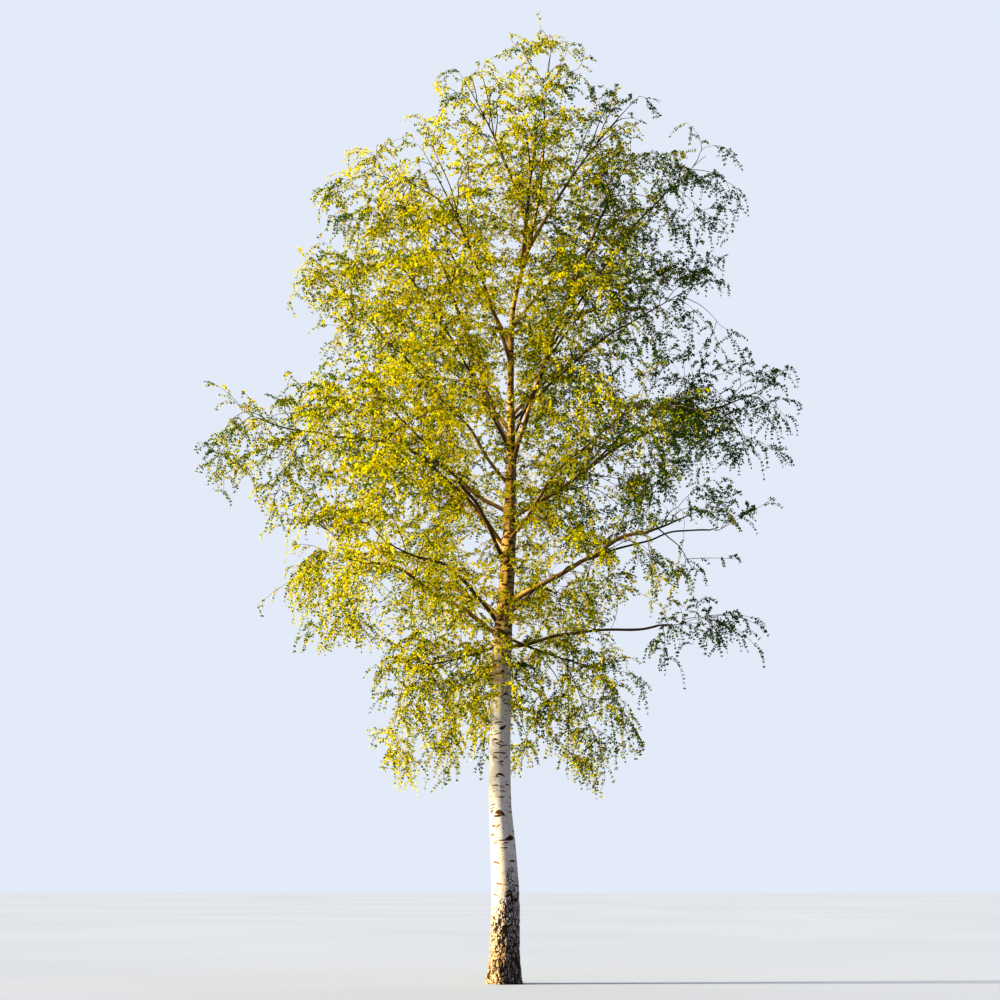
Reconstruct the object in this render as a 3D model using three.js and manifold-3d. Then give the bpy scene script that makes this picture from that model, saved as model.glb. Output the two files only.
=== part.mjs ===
// A paper birch that stands alone: one white trunk from its root flare to its tip, the boughs that leave it,
// and the masses of foliage that hang from them. Millimetres, +Z up, +X to the right seen from the front (the
// front is the -Y side), with the origin in the middle of the flat cut at ground level.

import * as THREE from "three";
import { mergeVertices } from "three/addons/utils/BufferGeometryUtils.js";
import Module from "manifold-3d";

const wasm = await Module();
wasm.setup();

// Two pieces of wood that touch on the real tree are this far apart.
const CLEARANCE = 0.3;
const SEED = 1931;

// The trunk's middle line and radius at named heights, from the ground to the tip.
const TRUNK = [
  { z: 0, x: 0, y: 0, r: 268 },
  { z: 350, x: -2, y: 4, r: 248 },
  { z: 1300, x: 5, y: 10, r: 230 },
  { z: 2100, x: -26, y: 14, r: 207 },
  { z: 2900, x: -78, y: 10, r: 181 },
  { z: 3800, x: -86, y: 0, r: 171 },
  { z: 4600, x: -63, y: -12, r: 164 },
  { z: 5400, x: -45, y: -20, r: 150 },
  { z: 6200, x: 8, y: -20, r: 134 },
  { z: 7300, x: 74, y: -6, r: 112 },
  { z: 8200, x: 102, y: 12, r: 90 },
  { z: 9000, x: 104, y: 30, r: 66 },
  { z: 10200, x: 100, y: 45, r: 52 },
  { z: 11300, x: 150, y: 40, r: 42 },
  { z: 12400, x: 420, y: 20, r: 33 },
  { z: 13400, x: 610, y: 0, r: 24 },
  { z: 14350, x: 690, y: -10, r: 17 },
];
const TRUNK_TIP = TRUNK[TRUNK.length - 1];
const TRUNK_MESH = { sides: 13, rings: 21, crowding: 1.25 };
// The buttresses that the roots raise on the foot of the trunk.
const FLARE = { height: 620, spread: 62, roots: 5, turn: 0.6 };

// Boughs taper to a share of their root radius, swell at the root by a collar, and aim above the middle of
// their mass, which hangs from them. They end a little inside its round space.
const BOUGH = { sides: 5, rings: 5, taper: 0.46, collar: 0.5, collarLength: 2.2, lift: 0.3, short: 0.72 };
const STEM = { segments: 4, tip: 16, thick: 16, thickening: 0.006, rise: 0.2, onward: 0.42, lift: 0.3 };
const TWIG = { count: 6, thick: 11, thin: 6, arch: 0.12, clear: 6, slim: 0.45 };
const SPRAY = {
  length: 1150,
  width: 0.54,
  widest: 0.46,
  thick: 0.016,
  sink: 3,
  shares: [0.34, 0.72],
  attempts: 14,
  longest: 1.1,
  shorter: 0.055,
  edge: 0.02,
};
const WEEP = 0.55;
// The faces between a blade's root (0), its ridge and two corners (1, 2, 3), and its tip (4).
const BLADE_FACES = [0, 2, 1, 0, 3, 2, 0, 1, 3, 4, 1, 2, 4, 2, 3, 4, 3, 1];
const GOLDEN_ANGLE = Math.PI * (3 - Math.sqrt(5));
const UP = new THREE.Vector3(0, 0, 1);

// The masses of foliage. Each has its middle at an azimuth (degrees from +X towards +Y), a reach from the
// origin's upright and a height. It fills a round space of half-width spread and half-height tall, with fill
// times the usual twigs, and its sprays hang down by weep. Its limb leaves the trunk at the height from, or
// another mass's bough at a share of its length (on, at). A mass with a bough names that bough's root radius
// and how far it arches, as a share of its length. One without has its stem straight from the trunk.
const MASSES = [
  { name: "top", azimuth: 0, reach: 780, height: 15590, spread: 1060, tall: 1230, weep: 0.2,
    from: TRUNK_TIP.z },
  { name: "top_left", azimuth: 186, reach: 440, height: 15200, spread: 900, tall: 1080, weep: 0.3,
    from: 12500 },
  { name: "top_right", azimuth: 0, reach: 1980, height: 14750, spread: 880, tall: 1150, weep: 0.3,
    from: 12300 },
  { name: "top_front", azimuth: 298, reach: 1080, height: 14050, spread: 960, tall: 1100, from: 11900 },
  { name: "top_back", azimuth: 66, reach: 1150, height: 14150, spread: 960, tall: 1100, from: 12100 },

  { name: "upper_left", azimuth: 176, reach: 2120, height: 13560, spread: 1300, tall: 1400, fill: 1.2,
    from: 8750, bough: { thick: 40, arch: 0.08 } },
  { name: "upper_mid_right", azimuth: 332, reach: 2150, height: 13000, spread: 1200, tall: 1320,
    from: 8430, bough: { thick: 50, arch: 0.05 } },
  { name: "upper_right", azimuth: 2, reach: 3300, height: 13650, spread: 1080, tall: 1380,
    on: "upper_mid_right", at: 0.42, bough: { thick: 27, arch: 0.05 } },
  { name: "upper_front_left", azimuth: 236, reach: 1850, height: 12950, spread: 1250, tall: 1320,
    from: 10300 },
  { name: "upper_back_left", azimuth: 124, reach: 2050, height: 12950, spread: 1250, tall: 1300,
    from: 10600 },
  { name: "upper_back_right", azimuth: 46, reach: 2350, height: 12850, spread: 1280, tall: 1300,
    from: 10900 },

  { name: "high_left", azimuth: 183, reach: 2820, height: 11300, spread: 1320, tall: 1200, weep: 0.7,
    from: 8120, bough: { thick: 36, arch: 0.03 } },
  { name: "high_right", azimuth: 1, reach: 3000, height: 11300, spread: 1200, tall: 1300, weep: 0.7,
    from: 9250, bough: { thick: 31, arch: 0.05 } },
  { name: "high_front_left", azimuth: 236, reach: 2480, height: 10750, spread: 1420, tall: 1300,
    from: 8650, bough: { thick: 33, arch: 0.05 } },
  { name: "high_front_right", azimuth: 304, reach: 2480, height: 10650, spread: 1420, tall: 1300,
    from: 8950, bough: { thick: 31, arch: 0.05 } },
  { name: "high_back_left", azimuth: 122, reach: 2550, height: 10850, spread: 1420, tall: 1300, from: 9100 },
  { name: "high_back_right", azimuth: 60, reach: 2600, height: 10750, spread: 1420, tall: 1300, from: 9350 },

  { name: "wide_left", azimuth: 192, reach: 2650, height: 9250, spread: 1380, tall: 1250,
    from: 7050, bough: { thick: 38, arch: 0.06 } },
  { name: "wide_left_tip", azimuth: 179, reach: 4080, height: 9050, spread: 1320, tall: 1400, fill: 1.2,
    weep: 0.7, from: 7680, bough: { thick: 42, arch: 0.09 } },
  { name: "wide_right_tip", azimuth: 1, reach: 4170, height: 9450, spread: 1060, tall: 1400, weep: 0.7,
    from: 7560, bough: { thick: 42, arch: 0.05 } },
  { name: "wide_right", azimuth: 350, reach: 2850, height: 9300, spread: 1350, tall: 1300,
    on: "wide_right_tip", at: 0.4, bough: { thick: 27, arch: 0.03 } },
  { name: "wide_front_left", azimuth: 238, reach: 3300, height: 8600, spread: 1600, tall: 1350,
    from: 6850, bough: { thick: 44, arch: 0.06 } },
  { name: "wide_front_right", azimuth: 303, reach: 3300, height: 8500, spread: 1600, tall: 1350,
    from: 7200, bough: { thick: 42, arch: 0.06 } },
  { name: "wide_back_left", azimuth: 120, reach: 3300, height: 8700, spread: 1620, tall: 1350,
    from: 6950, bough: { thick: 44, arch: 0.06 } },
  { name: "wide_back_right", azimuth: 60, reach: 3300, height: 8600, spread: 1620, tall: 1350,
    from: 7300, bough: { thick: 42, arch: 0.06 } },

  { name: "low_left", azimuth: 185, reach: 3250, height: 6800, spread: 1330, tall: 1600, fill: 1.2,
    weep: 0.9, from: 5560, bough: { thick: 48, arch: 0.07 } },
  { name: "low_front_left", azimuth: 222, reach: 2600, height: 6800, spread: 1320, tall: 1350, weep: 0.8,
    from: 5700, bough: { thick: 44, arch: 0.12 } },
  { name: "low_right", azimuth: 350, reach: 3050, height: 7350, spread: 1180, tall: 1050,
    from: 6020, bough: { thick: 60, arch: 0.05 } },
  { name: "low_right_outer", azimuth: 6, reach: 4130, height: 7250, spread: 960, tall: 1250, weep: 0.8,
    on: "low_right", at: 0.56, bough: { thick: 26, arch: 0.04 } },
  { name: "low_front_right", azimuth: 314, reach: 2500, height: 6500, spread: 1280, tall: 1250, weep: 0.8,
    on: "low_right", at: 0.34, bough: { thick: 26, arch: 0.02 } },
  { name: "low_right_tip", azimuth: 14, reach: 3500, height: 5720, spread: 1180, tall: 960, weep: 0.8,
    from: 5420, bough: { thick: 40, arch: 0.02 } },
  { name: "low_back_left", azimuth: 130, reach: 2700, height: 6600, spread: 1350, tall: 1300, weep: 0.8,
    from: 5850, bough: { thick: 42, arch: 0.08 } },
  { name: "low_back_right", azimuth: 62, reach: 2700, height: 6500, spread: 1320, tall: 1300, weep: 0.8,
    from: 5950, bough: { thick: 42, arch: 0.08 } },

  { name: "skirt_left", azimuth: 192, reach: 1380, height: 4550, spread: 1000, tall: 1600, weep: 1.2,
    from: 5480 },
  { name: "skirt_right", azimuth: 350, reach: 1420, height: 4500, spread: 1000, tall: 1650, weep: 1.2,
    from: 5620 },
  { name: "skirt_back", azimuth: 92, reach: 1500, height: 4650, spread: 980, tall: 1450, weep: 1.2,
    from: 5300 },
];

const WHITE_BARK = new THREE.MeshStandardMaterial({ color: 0xe8e0d2, roughness: 0.8, metalness: 0 });
const BROWN_BARK = new THREE.MeshStandardMaterial({ color: 0x8a6a4c, roughness: 0.85, metalness: 0 });
const SPRING_LEAVES = new THREE.MeshStandardMaterial({ color: 0x9aa61e, roughness: 0.6, metalness: 0 });

// A number from 0 to 1 that depends only on its keys, so that each twig keeps its own chance.
function chance(...keys) {
  let h = SEED;
  for (const key of keys) {
    h = Math.imul(h ^ (key + 0x9e3779b9), 0x85ebca6b);
    h ^= h >>> 13;
  }
  h = Math.imul(h, 0xc2b2ae35);
  h ^= h >>> 16;
  return (h >>> 0) / 4294967296;
}
const between = (low, high, ...keys) => low + (high - low) * chance(...keys);
const clamp = THREE.MathUtils.clamp;
const taper = (thick, thin) => (share) => thick + (thin - thick) * share;
const evenly = (count) => Array.from({ length: count + 1 }, (_, i) => i / count);

// The trunk's middle and radius at a height: a smooth line through the named heights.
function trunkAt(z) {
  let i = 0;
  while (i < TRUNK.length - 2 && z > TRUNK[i + 1].z) i++;
  const [a, b] = [TRUNK[i], TRUNK[i + 1]];
  const before = TRUNK[Math.max(0, i - 1)];
  const after = TRUNK[Math.min(TRUNK.length - 1, i + 2)];
  const span = b.z - a.z;
  const t = clamp((z - a.z) / span, 0, 1);
  const smooth = (key) => {
    const slopeA = ((b[key] - before[key]) / (b.z - before.z)) * span;
    const slopeB = ((after[key] - a[key]) / (after.z - a.z)) * span;
    const ends = a[key] * (1 + t * t * (2 * t - 3)) + b[key] * t * t * (3 - 2 * t);
    return ends + slopeA * t * (1 - t) * (1 - t) - slopeB * t * t * (1 - t);
  };
  return { middle: new THREE.Vector3(smooth("x"), smooth("y"), z), radius: smooth("r") };
}

// A closed geometry from rings of points: neighbouring rings are joined, the first end is closed by a fan, and
// the last one by a fan or by faces that meet in a tip.
function ringsGeometry(rings, tip = null) {
  const sides = rings[0].length;
  const points = rings.flat();
  const faces = [];
  for (let i = 0; i + 1 < rings.length; i++) {
    for (let k = 0; k < sides; k++) {
      const a = i * sides + k;
      const b = i * sides + ((k + 1) % sides);
      faces.push(a, b, b + sides, a, b + sides, a + sides);
    }
  }
  const last = (rings.length - 1) * sides;
  for (let k = 1; k + 1 < sides; k++) {
    faces.push(0, k + 1, k);
    if (!tip) faces.push(last, last + k, last + k + 1);
  }
  if (tip) {
    for (let k = 0; k < sides; k++) faces.push(last + k, last + ((k + 1) % sides), points.length);
    points.push(tip);
  }
  return new THREE.BufferGeometry().setFromPoints(points).setIndex(faces);
}

// A limb of round section along a curve, with its radius given at each share of its length.
function limbGeometry(curve, radiusAt, sides, segments) {
  const frames = curve.computeFrenetFrames(segments, false);
  const rings = evenly(segments).map((share, i) =>
    Array.from({ length: sides }, (_, k) => {
      const turn = (2 * Math.PI * k) / sides;
      return curve
        .getPoint(share)
        .addScaledVector(frames.normals[i], radiusAt(share) * Math.cos(turn))
        .addScaledVector(frames.binormals[i], radiusAt(share) * Math.sin(turn));
    }),
  );
  return ringsGeometry(rings);
}

// The trunk, grown by a margin: round rings that crowd towards its foot, where the roots raise buttresses.
function trunkGeometry(grown) {
  const rings = evenly(TRUNK_MESH.rings - 1).map((share) => {
    const z = TRUNK_TIP.z * Math.pow(share, TRUNK_MESH.crowding);
    const { middle, radius } = trunkAt(z);
    const fade = Math.pow(clamp(1 - z / FLARE.height, 0, 1), 2);
    return Array.from({ length: TRUNK_MESH.sides }, (_, k) => {
      const turn = (2 * Math.PI * (k + 0.3)) / TRUNK_MESH.sides;
      const buttress = 0.4 + 0.6 * Math.cos(FLARE.roots * (turn - FLARE.turn));
      const r = radius + FLARE.spread * fade * buttress + grown;
      return new THREE.Vector3(middle.x + r * Math.cos(turn), middle.y + r * Math.sin(turn), z);
    });
  });
  return ringsGeometry(rings);
}

// A closed geometry as a solid that can be joined and cut, and a solid as a named node of the tree.
function solidOf(geometry) {
  const merged = mergeVertices(geometry);
  const vertProperties = merged.getAttribute("position").array;
  const triVerts = new Uint32Array(merged.index.array);
  return new wasm.Manifold(new wasm.Mesh({ numProp: 3, vertProperties, triVerts }));
}
const joined = (solids) => solids.reduce((whole, solid) => whole.add(solid));
const largestBody = (solid) => solid.decompose().reduce((a, b) => (a.volume() > b.volume() ? a : b));
function nodeOf(name, solid, material) {
  const { vertProperties, triVerts } = largestBody(solid).getMesh();
  const geometry = new THREE.BufferGeometry();
  geometry.setAttribute("position", new THREE.BufferAttribute(vertProperties, 3));
  geometry.setIndex(new THREE.BufferAttribute(triVerts, 1));
  const node = new THREE.Mesh(geometry, material);
  node.name = name;
  return node;
}

// The distance from the middle of a mass to the edge of its round space along a direction.
const roundReach = (mass, way) =>
  1 / Math.sqrt((way.x ** 2 + way.y ** 2) / mass.spread ** 2 + way.z ** 2 / mass.tall ** 2);

// How far a point lies on the mass's side of the flat border between it and another.
function borderGap(mass, other, point) {
  const ours = point.distanceToSquared(mass.middle) - mass.spread ** 2;
  const theirs = point.distanceToSquared(other.middle) - other.spread ** 2;
  return (theirs - ours) / (2 * mass.middle.distanceTo(other.middle));
}

// True if a point lies in the mass's own space: its round space, within its borders by a margin.
function inOwnSpace(mass, point, margin) {
  const off = point.clone().sub(mass.middle);
  if (off.length() > roundReach(mass, off.clone().normalize())) return false;
  return MASSES.every((other) => other === mass || borderGap(mass, other, point) > margin);
}

// The distance from the mass's middle to the edge of its own space along a direction.
function ownReach(mass, way) {
  let reach = roundReach(mass, way);
  for (const other of MASSES) {
    if (other === mass) continue;
    const here = borderGap(mass, other, mass.middle);
    const next = borderGap(mass, other, mass.middle.clone().add(way));
    if (next < here) reach = Math.min(reach, here / (here - next));
  }
  return Math.max(0, reach);
}

// The shortest distance between the segments from a to b and from c to d.
function gapBetween(a, b, c, d) {
  const u = b.clone().sub(a);
  const v = d.clone().sub(c);
  const w = a.clone().sub(c);
  const flat = u.dot(u) * v.dot(v) - u.dot(v) ** 2;
  const near = flat > 1e-9 ? clamp((u.dot(v) * v.dot(w) - v.dot(v) * u.dot(w)) / flat, 0, 1) : 0;
  const t = clamp((u.dot(v) * near + v.dot(w)) / v.dot(v), 0, 1);
  const s = clamp((u.dot(v) * t - u.dot(w)) / u.dot(u), 0, 1);
  return a.clone().addScaledVector(u, s).distanceTo(c.clone().addScaledVector(v, t));
}

// Every mass's middle, and its bough, which runs from the trunk or another bough to where it enters the mass.
for (const mass of MASSES) {
  const azimuth = THREE.MathUtils.degToRad(mass.azimuth);
  mass.middle = new THREE.Vector3(mass.reach * Math.cos(azimuth), mass.reach * Math.sin(azimuth), mass.height);
}
const massNamed = (name) => MASSES.find((mass) => mass.name === name);
for (const mass of MASSES) {
  mass.root = mass.on ? massNamed(mass.on).bough.curve.getPoint(mass.at) : trunkAt(mass.from).middle;
  if (!mass.bough) continue;
  const aim = mass.middle.clone().addScaledVector(UP, BOUGH.lift * mass.tall);
  const way = aim.clone().sub(mass.root).normalize();
  const tip = aim.clone().addScaledVector(way, -BOUGH.short * roundReach(mass, way));
  const bend = mass.root.clone().lerp(tip, 0.5);
  bend.z += 2 * mass.bough.arch * mass.root.distanceTo(tip);
  mass.bough.curve = new THREE.QuadraticBezierCurve3(mass.root, bend, tip);
}

// A bough's radius along it, with the collar at its root.
function boughRadius(bough, share) {
  const collar = Math.exp((-share * bough.curve.getLength()) / (BOUGH.collarLength * bough.thick));
  return bough.thick * (taper(1, BOUGH.taper)(share) + BOUGH.collar * collar);
}
const boughSolid = (bough, grown) =>
  solidOf(limbGeometry(bough.curve, (share) => boughRadius(bough, share) + grown, BOUGH.sides, BOUGH.rings));

// Every mass's stem, which goes on from the tip of its bough or of the trunk, or leaves the trunk's side, and
// arches out through the mass.
for (const mass of MASSES) {
  const start = mass.bough ? mass.bough.curve.getPoint(1) : mass.root.clone();
  const way = mass.bough ? mass.bough.curve.getTangent(1) : mass.middle.clone().sub(start).normalize();
  if (!mass.bough) way.z += STEM.rise;
  if (mass.from === TRUNK_TIP.z) way.copy(UP);
  const out = new THREE.Vector3(mass.middle.x - start.x, mass.middle.y - start.y, 0);
  if (out.length() > mass.spread) out.setLength(mass.spread);
  const end = mass.middle.clone().addScaledVector(out, STEM.onward);
  end.z += STEM.lift * mass.tall;
  const far = start.distanceTo(end);
  mass.stemRadius = mass.bough ? mass.bough.thick * BOUGH.taper : STEM.thick + STEM.thickening * far;
  if (mass.from === TRUNK_TIP.z) mass.stemRadius = TRUNK_TIP.r;
  mass.goesOn = Boolean(mass.bough) || mass.from === TRUNK_TIP.z;
  if (mass.goesOn) start.addScaledVector(way, CLEARANCE);
  const bend = start.clone().addScaledVector(way, 0.5 * far);
  mass.stem = new THREE.QuadraticBezierCurve3(start, bend, end);
}

// All the limbs as short straight stretches, which twigs and sprays of other masses keep clear of.
const limbs = [];
function addLimb(owner, shares, pointAt, radiusAt) {
  for (let i = 0; i + 1 < shares.length; i++) {
    const [from, to] = [shares[i], shares[i + 1]];
    limbs.push({ owner, a: pointAt(from), b: pointAt(to), r: Math.max(radiusAt(from), radiusAt(to)) });
  }
}
const trunkPart = (share) => trunkAt(share * TRUNK_TIP.z);
addLimb("trunk", evenly(30), (share) => trunkPart(share).middle, (share) => trunkPart(share).radius);
for (const { name, bough, stem, stemRadius } of MASSES) {
  if (bough) {
    const pointAt = (share) => bough.curve.getPoint(share);
    addLimb("bough", evenly(BOUGH.rings), pointAt, (share) => boughRadius(bough, share));
  }
  addLimb(name, evenly(STEM.segments), (share) => stem.getPoint(share), () => stemRadius);
}
const clearOfLimbs = (mass, a, b, radius) =>
  limbs.every((l) => l.owner === mass.name || gapBetween(a, b, l.a, l.b) > l.r + radius + TWIG.clear);

// The twigs of a mass: each runs from the stem, with one elbow, to a point near the edge of the mass's own
// space, the points being spread evenly round it.
function twigsOf(mass, seed) {
  const count = Math.round(TWIG.count * (mass.fill ?? 1));
  const base = mass.stem.getPoint(0);
  const stemWay = mass.stem.getPoint(1).sub(base);
  const turn = 2 * Math.PI * chance(seed, 1);
  const twigs = [];
  for (let j = 0; j < count; j++) {
    const rise = 1 - (2 * (j + 0.5)) / count;
    const ring = Math.sqrt(1 - rise * rise);
    const angle = turn + GOLDEN_ANGLE * j;
    const way = new THREE.Vector3(ring * Math.cos(angle), ring * Math.sin(angle), rise);
    const reach = ownReach(mass, way);
    const room = (0.45 + 0.2 * way.z) * SPRAY.length;
    const end = mass.middle.clone().addScaledVector(way, Math.max(0.4 * reach, reach - room));
    const along = end.clone().sub(base).dot(stemWay) / stemWay.lengthSq();
    const share = clamp(along - between(0.2, 0.4, seed, 2, j), 0.08, 0.9);
    const start = mass.stem.getPoint(share);
    const elbow = start.clone().lerp(end, 0.5);
    elbow.z += TWIG.arch * start.distanceTo(end);
    const clear = (a, b) => inOwnSpace(mass, b, TWIG.thick) && clearOfLimbs(mass, a, b, TWIG.thick);
    if (!clear(start, elbow) || !clear(elbow, end)) continue;
    const thick = Math.min(TWIG.thick, TWIG.slim * taper(mass.stemRadius, STEM.tip)(share));
    twigs.push({ points: [start, elbow, end], thick, key: j });
  }
  return twigs;
}

// A point of a twig at a share of it, and the way it runs there.
function twigAt(twig, share) {
  const [start, elbow, end] = twig.points;
  const [a, b] = share < 0.5 ? [start, elbow] : [elbow, end];
  return {
    point: a.clone().lerp(b, share < 0.5 ? 2 * share : 2 * share - 1),
    way: b.clone().sub(a).normalize(),
  };
}

// The directions of a blade or a twig that runs along way, with its upper side towards face.
function frameOf(way, face) {
  const across = way.clone().cross(face).normalize();
  return { way, across, out: across.clone().cross(way).normalize() };
}
const offset = (point, frame, along, across, out) =>
  point
    .clone()
    .addScaledVector(frame.way, along)
    .addScaledVector(frame.across, across)
    .addScaledVector(frame.out, out);

// A spray of leaves as one blade: its root, the ridge and the two corners of its widest place, and its tip.
function bladeOf(root, frame, length) {
  const wide = SPRAY.widest * length;
  const half = 0.5 * SPRAY.width * length;
  const ridge = offset(root, frame, wide, 0, SPRAY.thick * length);
  const corners = [offset(root, frame, wide, half, 0), offset(root, frame, wide, -half, 0)];
  return { root, frame, length, ring: [ridge, ...corners], tip: offset(root, frame, length, 0, 0) };
}

// True if the segment from a to b runs through a blade or just past its edge.
function pierces(a, b, blade) {
  const sideA = a.clone().sub(blade.root).dot(blade.frame.out);
  const sideB = b.clone().sub(blade.root).dot(blade.frame.out);
  if (sideA * sideB > 0) return false;
  const hit = a.clone().lerp(b, sideA / (sideA - sideB)).sub(blade.root);
  const along = hit.dot(blade.frame.way) / blade.length;
  const across = Math.abs(hit.dot(blade.frame.across)) / blade.length;
  const half = 0.5 * SPRAY.width * Math.min(along / SPRAY.widest, (1 - along) / (1 - SPRAY.widest));
  return across < half + SPRAY.edge;
}
const edgesOf = ({ root, ring, tip }) => [[root, ring[1]], [ring[1], tip], [tip, ring[2]], [ring[2], root]];
const bladesCross = (one, two) =>
  edgesOf(one).some(([a, b]) => pierces(a, b, two)) || edgesOf(two).some(([a, b]) => pierces(a, b, one));

// Adds to the blades one that lies in its twig's plane, fits the mass's own space and touches no limb, twig or
// other blade. It is tried a few times, each time a little shorter.
function addBlade(mass, twig, share, wayOf, blades, lines) {
  const { point: root, way: along } = twigAt(twig, share);
  for (let attempt = 0; attempt < SPRAY.attempts; attempt++) {
    const way = wayOf(along.clone(), attempt).normalize();
    const frame = frameOf(way, along.clone().cross(way));
    const blade = bladeOf(root, frame, SPRAY.length * (SPRAY.longest - SPRAY.shorter * attempt));
    const margin = SPRAY.thick * blade.length;
    const fits =
      [...blade.ring, blade.tip].every((point) => inOwnSpace(mass, point, TWIG.clear)) &&
      edgesOf(blade).every(([a, b]) => clearOfLimbs(mass, a, b, margin)) &&
      !limbs.some((limb) => limb.owner !== mass.name && pierces(limb.a, limb.b, blade)) &&
      !lines.some((line) => line.twig !== twig && pierces(line.a, line.b, blade)) &&
      !blades.some((other) => bladesCross(blade, other));
    if (!fits) continue;
    blades.push(blade);
    return blade;
  }
  return null;
}

// A twig with its sprays: one goes on from its end and the others leave it to the left and right, and each
// hangs as far as its mass weeps.
function twigSolids(mass, twig, seed, blades, lines) {
  const luck = (...keys) => between(-1, 1, seed, twig.key, ...keys);
  const hang = (k, attempt) =>
    new THREE.Vector3(
      0.4 * luck(k, attempt, 1),
      0.4 * luck(k, attempt, 2),
      0.35 * luck(k, attempt, 3) - (mass.weep ?? WEEP),
    );
  const onward = (way, attempt) => way.add(hang(0, attempt));
  const end = addBlade(mass, twig, 1, onward, blades, lines);
  const face = end ? end.frame.out : UP;
  const rings = twig.points.map((middle, i) => {
    const here = frameOf(twigAt(twig, i / 2).way, face);
    const r = taper(twig.thick, TWIG.thin)(i / 2);
    const corner = (side) => offset(middle, here, 0, side * r * Math.cos(Math.PI / 6), -0.5 * r);
    return [offset(middle, here, 0, 0, r), corner(1), corner(-1)];
  });
  if (end) rings.push(end.ring);
  const solids = [solidOf(ringsGeometry(rings, end && end.tip))];
  SPRAY.shares.forEach((share, k) => {
    const sideways = (way, attempt) => {
      const side = way.clone().cross(UP).normalize().multiplyScalar(k % 2 ? 0.8 : -0.8);
      return way.multiplyScalar(0.5).add(side).add(hang(k + 1, attempt));
    };
    const blade = addBlade(mass, twig, share, sideways, blades, lines);
    if (!blade) return;
    const root = offset(blade.root, blade.frame, -SPRAY.sink, 0, 0);
    const points = [root, ...blade.ring, blade.tip];
    solids.push(solidOf(new THREE.BufferGeometry().setFromPoints(points).setIndex(BLADE_FACES)));
  });
  return solids;
}

// A mass of foliage: its stem, the twigs that leave the stem, and their sprays.
function massSolid(mass, seed) {
  const twigs = twigsOf(mass, seed);
  const lines = [];
  const addLines = (points, twig) => {
    for (let i = 0; i + 1 < points.length; i++) lines.push({ a: points[i], b: points[i + 1], twig });
  };
  addLines(evenly(STEM.segments).map((share) => mass.stem.getPoint(share)), null);
  for (const twig of twigs) addLines(twig.points, twig);
  const blades = [];
  const stem = limbGeometry(mass.stem, taper(mass.stemRadius, STEM.tip), 3, STEM.segments);
  return joined([solidOf(stem), ...twigs.flatMap((twig) => twigSolids(mass, twig, seed, blades, lines))]);
}

// The tree. A limb that leaves another one's side is cut clear of it, and a scrap that the cut leaves is dropped.
const tree = new THREE.Group();
tree.add(nodeOf("trunk", solidOf(trunkGeometry(0)), WHITE_BARK));
const clearedTrunk = solidOf(trunkGeometry(CLEARANCE));
MASSES.forEach((mass, index) => {
  if (mass.bough) {
    const parent = mass.on ? boughSolid(massNamed(mass.on).bough, CLEARANCE) : clearedTrunk;
    tree.add(nodeOf(`bough_${mass.name}`, boughSolid(mass.bough, 0).subtract(parent), BROWN_BARK));
  }
  const foliage = massSolid(mass, index + 1);
  const cleared = mass.goesOn ? foliage : foliage.subtract(clearedTrunk);
  tree.add(nodeOf(`foliage_${mass.name}`, cleared, SPRING_LEAVES));
});

export default tree;
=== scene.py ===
"""A paper birch in its spring leaf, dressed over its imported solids.

The trunk and the boughs get bark with relief. Each mass of foliage grows again by the rule of its solid and
is carried on to branchlets, fine hanging twigs and leaves. Metres, +Z up, the front is the -Y side.
"""

import logging
import math
from dataclasses import dataclass, field, replace
from enum import Enum, IntEnum
from functools import cache

import bpy
import numpy as np
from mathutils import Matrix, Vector
from numpy.linalg import norm


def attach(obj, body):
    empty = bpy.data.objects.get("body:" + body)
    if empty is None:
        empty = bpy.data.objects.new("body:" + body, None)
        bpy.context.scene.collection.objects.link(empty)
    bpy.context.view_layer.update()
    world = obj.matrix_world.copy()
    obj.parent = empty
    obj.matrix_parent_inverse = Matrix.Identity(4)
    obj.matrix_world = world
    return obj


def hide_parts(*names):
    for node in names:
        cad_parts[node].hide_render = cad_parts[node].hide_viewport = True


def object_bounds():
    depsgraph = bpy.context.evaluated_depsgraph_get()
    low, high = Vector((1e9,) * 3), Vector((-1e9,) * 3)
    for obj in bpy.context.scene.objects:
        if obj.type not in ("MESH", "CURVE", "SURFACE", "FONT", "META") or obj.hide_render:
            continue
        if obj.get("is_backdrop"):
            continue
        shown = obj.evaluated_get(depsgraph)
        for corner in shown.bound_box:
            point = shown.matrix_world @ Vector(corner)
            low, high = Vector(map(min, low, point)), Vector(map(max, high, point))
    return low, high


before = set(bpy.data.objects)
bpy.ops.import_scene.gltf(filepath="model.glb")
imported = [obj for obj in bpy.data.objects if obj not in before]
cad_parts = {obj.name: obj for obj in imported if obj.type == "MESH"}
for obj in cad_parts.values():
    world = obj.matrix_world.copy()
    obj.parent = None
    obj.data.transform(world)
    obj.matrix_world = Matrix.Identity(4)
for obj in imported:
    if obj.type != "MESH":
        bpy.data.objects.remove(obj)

CAD_LOW, CAD_HIGH = (np.array(corner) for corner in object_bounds())

Array = np.ndarray
Luck = np.random.Generator
Colour = tuple[float, float, float]
Place = tuple[float, float, float]
Span = tuple[float, float]
Piece = bpy.types.Object
Material = bpy.types.Material
Node = bpy.types.Node
NodeTree = bpy.types.NodeTree
Socket = bpy.types.NodeSocket
Feed = Socket | float | Colour

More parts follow.
